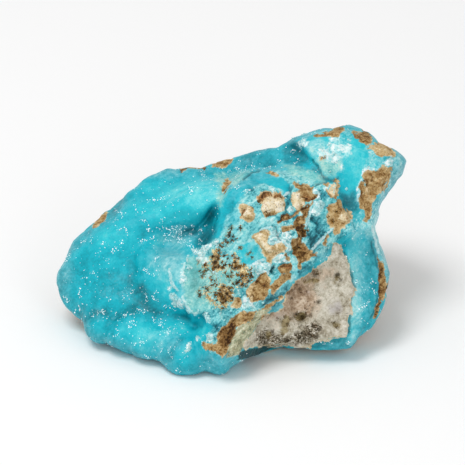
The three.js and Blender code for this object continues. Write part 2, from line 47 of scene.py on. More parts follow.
# the same forms as the stone's solid, in mm on the display face, which leans back from upright:
# across runs right, up climbs the face, out comes off it
stoneForm = {
    "faceLean": 30.0,  # degrees
    "faceHeight": 16.4,
    "outline": [(-35.2, -7), (-34.4, -4.2), (-33, -2.4), (-32.4, 0), (-31.4, 1.8), (-29.2, 3.4),
        (-26.4, 6.6), (-25.2, 7.6), (-24, 8), (-21, 12), (-19.4, 12.8), (-17.8, 14.3),
        (-14.4, 16.1), (-12.6, 16.4), (-11.2, 15.8), (-8.2, 16.5), (-5.6, 16.5), (-0.8, 18.2),
        (2, 18.6), (5.6, 19.9), (7.6, 20.4), (9.8, 20.4), (13.4, 22.4), (19, 24.3), (24, 24.9),
        (27.8, 23.6), (29.4, 21.4), (33.6, 19.7), (34.8, 18.6), (35, 17.4), (34.4, 15.2), (30, 9.8),
        (29.4, 8.4), (29.6, 7.2), (28.6, 4.2), (29.6, 2.6), (31.8, -4.6), (31.2, -9.4), (28, -15.6),
        (27, -16.2), (25.2, -18.6), (24, -19.5), (16.4, -20), (8.4, -18.9), (6, -20), (5.4, -20.9),
        (2.2, -21.4), (-0.8, -24.5), (-2, -24.8), (-4.8, -23.7), (-5.8, -23.7), (-7, -24.5),
        (-9.2, -25), (-10.8, -24.6), (-12.8, -22.2), (-16.4, -22.1), (-20, -20.8), (-23.6, -19),
        (-26, -19), (-27.6, -18.5), (-28.6, -17.4), (-29.2, -14.4), (-30.6, -13.5), (-33.2, -11),
        (-34.8, -8.4)],
    "softOutline": [(-35.2, -7.2), (-32, -0.4), (-23.6, 8.4), (-14, 16), (-3, 17.4), (6.4, 20.2),
        (15, 23.2), (23, 25), (29.6, 22.4), (35.6, 17.8), (31, 12), (28.8, 5), (31.4, -4.4),
        (29.2, -14.4), (23, -19.8), (12, -19.6), (4, -21.6), (-1.6, -24.8), (-11.6, -24.6),
        (-22, -20), (-29.2, -15.6)],
    "ridge": [(-11.2, -2.8), (-11.6, -5.2), (-11.4, -8), (-9.8, -10.8), (-7, -12.6), (-5, -13.2),
        (-3.8, -15.2), (-5.4, -18), (-4.4, -20.4), (-1.6, -21.4), (1.6, -20.4), (5.6, -14.4),
        (8, -12.2), (10.8, -10.6), (12.2, -7), (18.4, -1.6), (21.6, 1.6), (24.4, 3.8), (23.6, 6.8),
        (22.2, 9.6), (21.4, 14), (19.6, 13.8), (17.6, 15.6), (14.4, 16.4), (11, 16.4), (8.4, 16),
        (5.6, 16), (3.2, 15.4), (0.6, 13.8), (-0.8, 11.4), (-3.4, 2.8), (-5.4, 1), (-7.6, 0.2),
        (-9.6, -1.2)],
    "head": [(13.4, 21.8), (15, 22.8), (19, 24.4), (24, 25), (27.8, 23.8), (29.4, 21.4),
        (33.6, 19.8), (35.2, 18), (34.6, 14.8), (29.6, 8.8), (29.6, 7), (28.2, 4.2), (24.4, 3.6),
        (22.4, 7.2), (20.8, 10.8), (20, 13.8), (15.2, 19.8)],
    "rock": [(21.2, 1.8), (22.8, 0.4), (24.2, -4.8), (25.4, -7.4), (24.4, -9.2), (23.8, -15.2),
        (23, -17.4), (14, -18.2), (8.4, -19), (3.6, -19.2), (3.2, -17.6), (5.6, -15.2),
        (7.2, -12.8), (10.2, -11), (11.6, -7.6), (14.6, -4.4), (18, -1.6), (20, 1.2)],
    "wall": [(21, 3.6), (24.4, 8), (28.6, 8), (29.2, 5.6), (29.6, 2.6), (31.8, -4.6), (31.2, -9.4),
        (30.6, -11), (29.8, -11.8), (28, -15.6), (27, -16.2), (26, -17.2), (25.2, -18.6),
        (24, -19.5), (16.4, -20), (14, -19.8), (12, -19.2), (14, -14)],
    # centre, half sizes, lean about the across axis
    "masses": [
        ((-16, -1.6, -6), (17, 11.5, 7), 32), ((1, 0.8, -4), (19, 14.5, 11), 32),
        ((18, 2.8, -4), (15.5, 17, 10), 28), ((-6, -13.6, 2), (16, 8, 8), 20),
        ((20, -12, 0), (13, 9, 9), 0), ((-21.5, -10.5, -3), (8, 7, 7.5), 0),
    ],
    # across, up, out at the top, radius
    "fieldLumps": [(-32.4, -6.8, -1.4, 4.2), (-28.6, -1.2, -2.4, 4.8), (-25.2, 3, -2.2, 4.4),
        (-20.6, 7.6, -4.4, 4.8), (-18.4, 10.8, -5, 5), (-16, 11, -6, 5), (-12.4, 12.4, -6.6, 4.2),
        (-6.8, 12.8, -5.6, 4.4), (-1.6, 14.4, -6.2, 4.4), (3.2, 16.4, -7, 4.6),
        (8.4, 17.8, -6.4, 4.6), (12.8, 19.4, -5.6, 4.2), (14.4, 17.4, -1.8, 5),
        (10.4, 17.2, -4.2, 4.6), (-29.6, -9.6, -0.6, 4.2), (-22.4, -4.4, 2, 6.5),
        (-23.6, -10, 2.4, 4.8), (-18.4, 2, -1.4, 6), (-13, 7.2, -2.2, 6), (-6, 8.8, -1.2, 5)],
    "backLumps": [(-6, 10, -12, 7), (-16, 5, -10, 6.5), (4, 12, -13, 8)],
    "lobeLumps": [(-25.8, -14.9, 5.4, 4.3), (-20.9, -17, 8, 4), (-16.4, -17.8, 10.2, 4.4),
        (-12.4, -18.2, 11.4, 4.4), (-9, -21, 13.8, 5), (-4.4, -20.2, 13, 4.2),
        (-1.4, -21.8, 13.4, 3.6), (-8.8, -17, 11.2, 4.2), (-4.6, -16.8, 11, 4),
        (-20.8, -13.2, 5, 3.8), (-15.6, -13.6, 7.4, 3.6)],
    "bossLumps": [(-14.2, -2, 6.8, 4.6), (-10.2, -5, 10.2, 6.2), (-14.2, -7.4, 8.2, 4.9),
        (-9.2, -9.6, 10.2, 4.8)],
    # how softly the lumps of a group run together, and into the stone
    "lumpJoins": {
        "backLumps": (3, 4), "fieldLumps": (2.6, 4.5),
        "lobeLumps": (0.8, 1.1), "bossLumps": (1.6, 1.4),
    },
    # centre, half sizes, turn, softness of the edge
    "hollows": [
        ((-8.8, 3.4, 6.6), (8.5, 2.9, 6.6), (-20, 0, 4), 4),
        ((-3.4, 5.6, 4.4), (1.7, 3.9, 8), (0, 0, -22), 1.6),
        ((-10.4, -13.6, 15.4), (10, 2.2, 7.4), (0, 0, -10), 3.2),
    ],
    # a point on each flat facet (across, up, out), and its slopes along across and up
    "facets": {
        "ridgeFace": ((4, -2, 13), (-0.1, -0.16)), "ridgeCrest": ((6.4, 11.2, 10.8), (0, -1.35)),
        "ridgeLeft": ((-6, -5, 11.8), (0.45, -0.3)),
        "ridgeRight": ((18.4, 5, 10.6), (-0.42, -0.05)),
        "headTop": ((23, 18, 5.4), (-0.1, -0.7)), "headFace": ((24, 12, 6), (-0.12, -0.1)),
        "headEnd": ((32.4, 14, 4.2), (-1.1, -0.2)), "rockFace": ((17, -9, 10), (-0.2, -0.1)),
        "rockFoot": ((14, -17.6, 10), (0.05, 0.9)), "wallLip": ((30.6, -5, 4.8), (-0.6, -0.12)),
        "wallFoot": ((20, -12, 8.4), (0, -0.1)),
    },
    # most and least slope of a slab's sides, how fast they steepen up the face, how soft its rim is
    "slabs": {
        "wall": (0.2, 0.2, 0, 1.2), "rock": (0.12, 0.12, 0, 0.6),
        "ridge": (0.45, 0.08, 0.045, 1.4), "head": (0.22, 0.22, 0, 1.2),
    },
    "steepenFrom": 5,
    # size, height and seed of the broken chunks
    "ridgeChunks": [(5.2, 2, 5), (2.8, 0.8, 17)],
    "headChunks": [(5.2, 1.1, 21), (2.6, 0.4, 27)],
    "unbroken": (0.5, 7.5, 2.6, 5.5),  # where the ridge carries few chunks: middle, half sizes
    "wallDip": (28, -4, 2.6, 9.5),     # where the right-hand wall is hollow: middle, half sizes
    "seam": (3.5, 0.4, 0.1, 0.11),     # mm behind the origin; slopes up, off the middle and across
    "rimReach": 7,              # mm from the seam where the soft outline has taken over
    "rimInset": 0.3,
    "frontRadius": (12, 42),    # how round the rim is in front, at the left end and at the right
    "backRadius": 19,
    "rimSoftness": 1.2,
    "knobSizes": (7, 3.6),      # mm, large and small
    "frontKnobs": (0.9, 0.25),  # how high the large and the small ones stand in front
    "backKnobs": (1.5, 0.5),    # and at the back
    # direction each flat face at the back looks in, and its distance from the origin
    "backFaces": [
        ((0.15, 0.92, 0.38), 34.4), ((-0.55, 0.8, 0.25), 27.4), ((0.62, 0.72, 0.3), 40.2),
        ((0.05, 0.75, -0.66), 12.2), ((-0.8, 0.25, -0.55), 23.8), ((0.75, 0.35, -0.56), 17.8),
        ((-0.3, 0.9, -0.3), 15.2),
    ],
    "backFaceSoftness": 1.6,
}

# the fine net over those forms
stoneNet = {
    "pitch": 0.36,        # mm between points
    "block": 4,           # points along each side of a block that is sampled or skipped whole
    "reach": 2.0,         # mm from the surface at which a block still counts
    "low": (-37.0, -27.0),
    "high": (37.0, 30.0, 40.0),
    "layersBelow": 2.5,   # so that the foot falls midway between two layers
    "slopeStep": 0.06,    # mm, for working out which way the surface lies
    "pulls": 2,
    "mostPull": 0.4,      # how far a point may be pulled, in pitches
    "footSnap": 0.06,     # mm from the floor within which a point is set on it
    "atATime": 40000,     # points worked out together
    "threads": 8,
}
cubeCorners = list(product((0, 1), repeat=3))
neighbours = (-1, 0, 1)
cellInset, cellSpread = 0.15, 0.7  # where in its cell a knob or a chunk may sit


def smoothMin(first, second, width):
    near = np.maximum(width - np.abs(first - second), 0) / width
    return np.minimum(first, second) - near * near * width * 0.25


def smoothMax(first, second, width):
    return -smoothMin(-first, -second, width)


def ease(value, low=0.0, high=1.0):
    step = np.clip((value - low) / (high - low), 0, 1)
    return step * step * (3 - 2 * step)


def softPatch(across, up, middle, height, wide, tall):  # 1 in the middle, fading away round it
    return np.exp(-(((across - middle) / wide) ** 2) - ((up - height) / tall) ** 2)


def segmentGap(start, end, across, up):  # squared mm to one straight length
    edgeAcross, edgeUp = end[0] - start[0], end[1] - start[1]
    toAcross, toUp = across - start[0], up - start[1]
    along = np.clip((toAcross * edgeAcross + toUp * edgeUp) / (edgeAcross ** 2 + edgeUp ** 2), 0, 1)
    return (toAcross - edgeAcross * along) ** 2 + (toUp - edgeUp * along) ** 2


def outlineDistance(points, across, up):  # negative inside
    nearest = np.full(across.shape, 1e9)
    inside = np.zeros(across.shape, bool)
    for start, end in zip(points, points[1:] + points[:1]):
        nearest = np.minimum(nearest, segmentGap(start, end, across, up))
        if end[1] != start[1]:
            crosses = (start[1] > up) != (end[1] > up)
            slant = (end[0] - start[0]) / (end[1] - start[1])
            inside ^= crosses & (across - start[0] < (up - start[1]) * slant)
    nearest = np.sqrt(nearest)
    return np.where(inside, -nearest, nearest)


class OutlineMap:  # distance to one outline, kept on a flat grid so that it reads quickly
    grid = 0.25
    left, right, foot, top = -46, 46, -34, 38

    def __init__(self, points):
        across, up = np.meshgrid(
            np.arange(self.left, self.right, self.grid), np.arange(self.foot, self.top, self.grid),
            indexing="ij",
        )
        self.table = outlineDistance(points, across, up)

    def at(self, across, up):
        column = np.clip((across - self.left) / self.grid, 0, self.table.shape[0] - 1.001)
        row = np.clip((up - self.foot) / self.grid, 0, self.table.shape[1] - 1.001)
        i, j = column.astype(int), row.astype(int)
        u, v = column - i, row - j
        low = self.table[i, j] * (1 - u) + self.table[i + 1, j] * u
        high = self.table[i, j + 1] * (1 - u) + self.table[i + 1, j + 1] * u
        return low * (1 - v) + high * v


outlineMaps = {
    name: OutlineMap(stoneForm[name])
    for name in ("outline", "softOutline", "ridge", "head", "rock", "wall")
}


def turnMatrix(turn):
    x, y, z = (math.radians(angle) for angle in turn)
    aboutX = np.array([[1, 0, 0], [0, math.cos(x), -math.sin(x)], [0, math.sin(x), math.cos(x)]])
    aboutY = np.array([[math.cos(y), 0, math.sin(y)], [0, 1, 0], [-math.sin(y), 0, math.cos(y)]])
    aboutZ = np.array([[math.cos(z), -math.sin(z), 0], [math.sin(z), math.cos(z), 0], [0, 0, 1]])
    return aboutZ @ aboutY @ aboutX


def roundLump(place, centre, half, turn=None):
    local = [value - middle for value, middle in zip(place, centre)]
    if turn and any(turn):
        m = turnMatrix(turn)
        local = [sum(local[row] * m[row, column] for row in range(3)) for column in range(3)]
    scaled = np.sqrt(sum((value / size) ** 2 for value, size in zip(local, half)))
    slope = np.sqrt(sum((value / size ** 2) ** 2 for value, size in zip(local, half))) + 1e-9
    return scaled * (scaled - 1) / slope


def lumps(place, rows, width):
    joined = None
    for across, up, top, radius in rows:
        lump = roundLump(place, (across, up, top - radius), (radius,) * 3)
        joined = lump if joined is None else smoothMin(joined, lump, width)
    return joined


def facet(name, across, up):  # how far out a flat facet lies
    middle, slopes = stoneForm["facets"][name]
    return middle[2] + slopes[0] * (across - middle[0]) + slopes[1] * (up - middle[1])


def scatter(column, row, layer, kind):  # repeatable 0 to 1 for each cell
    wave = np.sin(column * 127.1 + row * 311.7 + layer * 74.7 + kind * 53.3) * 43758.5453
    return wave - np.floor(wave)


def knobDistance(place, size, kind):  # to the nearest scattered knob, in knob sizes
    scaled = [value / size for value in place]
    home = [np.floor(value) for value in scaled]
    nearest = np.full(scaled[0].shape, 9.0)
    for i, j, k in product(neighbours, repeat=3):
        cell = (home[0] + i, home[1] + j, home[2] + k)
        gap = sum(
            (scaled[axis] - cell[axis] - cellInset - cellSpread * scatter(*cell, kind + axis)) ** 2
            for axis in range(3)
        )
        nearest = np.minimum(nearest, gap)
    return np.sqrt(nearest)


def chunkHeight(across, up, size, kind):  # flat-sided chunks, 0 on top and lower between them
    columnHome, rowHome = np.floor(across / size), np.floor(up / size)
    highest = np.full(across.shape, -9.0)
    for i, j in product(neighbours, repeat=2):
        column, row = columnHome + i, rowHome + j
        draw = [scatter(column, row, 0, kind + step) for step in range(6)]
        sideways = across / size - column - cellInset - cellSpread * draw[0]
        upwards = up / size - row - cellInset - cellSpread * draw[1]
        turn = draw[2] * 3.14
        steep = np.abs(sideways * np.cos(turn) + upwards * np.sin(turn))
        gentle = np.abs(upwards * np.cos(turn) - sideways * np.sin(turn))
        fall = steep * (0.7 + 0.8 * draw[4]) + gentle * (0.3 + 0.4 * draw[5])
        highest = np.maximum(highest, 0.35 * draw[3] - np.maximum(fall - 0.22, 0))
    return highest


def softNoise(place, size, kind):  # smooth 0 to 1 lumps of the given size
    scaled = [value / size for value in place]
    home = [np.floor(value) for value in scaled]
    part = [ease(value - low) for value, low in zip(scaled, home)]
    total = 0
    for corner in cubeCorners:
        a, b, c = (share if far else 1 - share for far, share in zip(corner, part))
        total = total + a * b * c * scatter(*(low + far for low, far in zip(home, corner)), kind)
    return total


def ridgeFront(across, up):
    front = smoothMin(facet("ridgeFace", across, up), facet("ridgeCrest", across, up), 3)
    front = smoothMin(front, facet("ridgeLeft", across, up), 2.5)
    front = smoothMin(front, facet("ridgeRight", across, up), 2)
    broken = np.clip((15.5 - up) / 5, 0.25, 1)  # calmer towards the crest
    broken = broken * (1 - 0.85 * softPatch(across, up, *stoneForm["unbroken"]))
    chunks = sum(
        height * chunkHeight(across, up, size, kind)
        for size, height, kind in stoneForm["ridgeChunks"]
    )
    return front + broken * chunks


def headFront(across, up):
    front = smoothMin(facet("headTop", across, up), facet("headFace", across, up), 2)
    front = smoothMin(front, facet("headEnd", across, up), 2)
    for size, height, kind in stoneForm["headChunks"]:
        front = front + height * chunkHeight(across, up, size, kind)
    return front


def rockFront(across, up):
    return smoothMin(facet("rockFace", across, up), facet("rockFoot", across, up), 1.5)


def wallFront(across, up):
    front = smoothMin(facet("wallLip", across, up), facet("wallFoot", across, up), 2)
    return front - 2 * softPatch(across, up, *stoneForm["wallDip"])


def slab(place, name, front):
    across, up, out = place
    most, least, steepens, soft = stoneForm["slabs"][name]
    draft = np.clip(most - steepens * (up - stoneForm["steepenFrom"]), least, most)
    frontOut = front(across, up)
    side = outlineMaps[name].at(across, up) - draft * np.clip(frontOut - out, 0, 30)
    return smoothMax(side, (out - frontOut) * 0.8, soft)


def fromSeam(place):  # how far in front of the seam round the stone's rim
    across, up, out = place
    behind, slopeUp, bend, slopeAcross = stoneForm["seam"]
    return out + behind + slopeUp * up - bend * np.abs(up) - slopeAcross * across


def toFace(x, y, z):
    lean = math.radians(stoneForm["faceLean"])
    lift = z - stoneForm["faceHeight"]
    return (
        x,
        y * math.sin(lean) + lift * math.cos(lean),
        lift * math.sin(lean) - y * math.cos(lean),
    )


def faceToWorld(across, up, out):
    lean = math.radians(stoneForm["faceLean"])
    y = up * math.sin(lean) - out * math.cos(lean)
    z = up * math.cos(lean) + out * math.sin(lean) + stoneForm["faceHeight"]
    return Vector((across, y, z)) * mm


def stoneDistance(x, y, z):  # mm to the surface, negative inside
    place = toFace(x, y, z)
    across, up, out = place
    stone = None
    for centre, half, lean in stoneForm["masses"]:
        mass = roundLump(place, centre, half, (lean, 0, 0))
        stone = mass if stone is None else smoothMin(stone, mass, 3)
    for name, (together, intoStone) in stoneForm["lumpJoins"].items():
        stone = smoothMin(stone, lumps(place, stoneForm[name], together), intoStone)
    for centre, half, turn, soft in stoneForm["hollows"]:
        stone = smoothMax(stone, -roundLump(place, centre, half, turn), soft)
    wall, rock = slab(place, "wall", wallFront), slab(place, "rock", rockFront)
    stone = smoothMin(stone, smoothMin(wall, rock, 0.4), 0.8)
    stone = smoothMin(stone, slab(place, "ridge", ridgeFront), 0.7)
    stone = smoothMin(stone, slab(place, "head", headFront), 0.8)
    seam = fromSeam(place)
    far = ease(np.abs(seam) / stoneForm["rimReach"])
    edge = outlineMaps["outline"].at(across, up) * (1 - far) - stoneForm["rimInset"]
    edge = edge + outlineMaps["softOutline"].at(across, up) * far
    leftRadius, rightRadius = stoneForm["frontRadius"]
    frontRound = leftRadius + (rightRadius - leftRadius) * ease((across + 14) / 14)
    rimRound = np.where(seam > 0, frontRound, stoneForm["backRadius"])
    stone = smoothMax(stone, edge + seam * seam / (2 * rimRound), stoneForm["rimSoftness"])
    for towards, at in stoneForm["backFaces"]:
        nx, ny, nz = np.array(towards) / np.linalg.norm(towards)
        stone = smoothMax(stone, nx * x + ny * y + nz * z - at, stoneForm["backFaceSoftness"])
    near = np.abs(stone) < 3  # knobs matter only by the surface
    large, small = (
        knobDistance([value[near] for value in place], size, kind) ** 2 - 0.25
        for size, kind in zip(stoneForm["knobSizes"], (3, 9))
    )
    rough = np.clip((-seam[near] - 1) / 6, 0, 1)
    front, back = (
        stoneForm[name][0] * large + stoneForm[name][1] * small
        for name in ("frontKnobs", "backKnobs")
    )
    stone[near] += (1 - rough) * front + rough * back
    return np.maximum(stone, -z)


def stoneDistances(x, y, z):  # the same, worked out in parts side by side
    parts = max(len(x) // stoneNet["atATime"], 1)
    pieces = [np.array_split(np.array(axis, float), parts) for axis in (x, y, z)]
    with ThreadPoolExecutor(stoneNet["threads"]) as pool:
        return np.concatenate(list(pool.map(stoneDistance, *pieces)))


def sampleStone():  # distances on a box grid, worked out only in blocks near the surface
    pitch, block = stoneNet["pitch"], stoneNet["block"]
    low = np.array([*stoneNet["low"], -stoneNet["layersBelow"] * pitch])
    blocks = np.ceil((np.array(stoneNet["high"]) - low) / (pitch * block)).astype(int)
    edges = [low[i] + pitch * block * np.arange(blocks[i] + 1) for i in range(3)]
    corners = np.meshgrid(*edges, indexing="ij")
    coarse = stoneDistances(*[axis.ravel() for axis in corners]).reshape(corners[0].shape)
    cornerNear = np.abs(coarse) < stoneNet["reach"]
    blockNear = np.zeros(blocks, bool)
    for corner in cubeCorners:
        window = tuple(slice(first, first + count) for first, count in zip(corner, blocks))
        blockNear |= cornerNear[window]
        blockNear |= (coarse[window] < 0) != (coarse[:-1, :-1, :-1] < 0)
    spread = np.ones((block, block, block))
    distances = np.kron(coarse[:-1, :-1, :-1], spread)
    index = np.nonzero(np.kron(blockNear, spread) > 0)
    distances[index] = stoneDistances(*[low[i] + pitch * index[i] for i in range(3)])
    return distances, low


def surfaceNet(distances, low):  # one point in each cell the surface passes through
    inside = distances < 0
    cells = [size - 1 for size in distances.shape]
    filled = sum(
        inside[i:i + cells[0], j:j + cells[1], k:k + cells[2]].astype(np.uint8)
        for i, j, k in cubeCorners
    )
    cell = np.argwhere((filled > 0) & (filled < 8))
    pointOf = np.full(cells, -1, np.int64)
    pointOf[tuple(cell.T)] = np.arange(len(cell))
    total, count = np.zeros((len(cell), 3)), np.zeros(len(cell))
    quads = []
    for axis in range(3):
        sides = [other for other in range(3) if other != axis]
        for shift in product((0, 1), repeat=2):
            start = cell.copy()
            start[:, sides] += shift
            end = start.copy()
            end[:, axis] += 1
            first, last = distances[tuple(start.T)], distances[tuple(end.T)]
            crosses = (first < 0) != (last < 0)
            along = first[crosses] / (first[crosses] - last[crosses])
            point = start[crosses].astype(float)
            point[:, axis] += along
            total[crosses] += point
            count[crosses] += 1
        before, after = [slice(None)] * 3, [slice(None)] * 3
        before[axis], after[axis] = slice(0, -1), slice(1, None)
        edge = np.argwhere(inside[tuple(before)] != inside[tuple(after)])
        ring = []
        for shift in ((-1, -1), (0, -1), (0, 0), (-1, 0)):
            corner = edge.copy()
            corner[:, sides] += shift
            ring.append(pointOf[tuple(corner.T)])
        ring = np.stack(ring, 1)
        if axis == 1:
            ring = ring[:, ::-1]
        outwards = inside[tuple(edge.T)]
        ring[~outwards] = ring[~outwards][:, ::-1]
        quads.append(ring)
    return total / count[:, None] * stoneNet["pitch"] + low, np.concatenate(quads)


def keepLargest(points, quads):  # drops loose specks of the net
    label = np.arange(len(points))
    while True:
        lowest = label[quads].min(axis=1)
        spread = label.copy()
        for side in range(4):
            np.minimum.at(spread, quads[:, side], lowest)
        spread = spread[spread]
        if np.array_equal(spread, label):
            break
        label = spread
    kept = label == np.bincount(label).argmax()
    renumber = np.cumsum(kept) - 1
    return points[kept], renumber[quads[kept[quads[:, 0]]]]


def pullToSurface(points):
    points = points.copy()
    start = points.copy()
    step, most = stoneNet["slopeStep"], stoneNet["mostPull"] * stoneNet["pitch"]
    for pull in range(stoneNet["pulls"]):
        here = stoneDistances(*points.T)
        slope = np.empty_like(points)
        for axis in range(3):
            ahead = points.copy()
            ahead[:, axis] += step
            slope[:, axis] = (stoneDistances(*ahead.T) - here) / step
        steep = np.maximum((slope ** 2).sum(1), 0.5)
        points -= slope * (here / steep)[:, None]
        points = np.clip(points, start - most, start + most)
    points[start[:, 2] < stoneNet["footSnap"], 2] = 0
    points[:, 2] = np.maximum(points[:, 2], 0)
    return points


def pointNormals(points, quads):
    corner = [points[quads[:, side]] for side in range(4)]
    flat = np.cross(corner[2] - corner[0], corner[3] - corner[1])
    normals = np.zeros_like(points)
    for side in range(4):
        for axis in range(3):
            normals[:, axis] += np.bincount(quads[:, side], flat[:, axis], len(points))
    return normals / (np.linalg.norm(normals, axis=1, keepdims=True) + 1e-9)


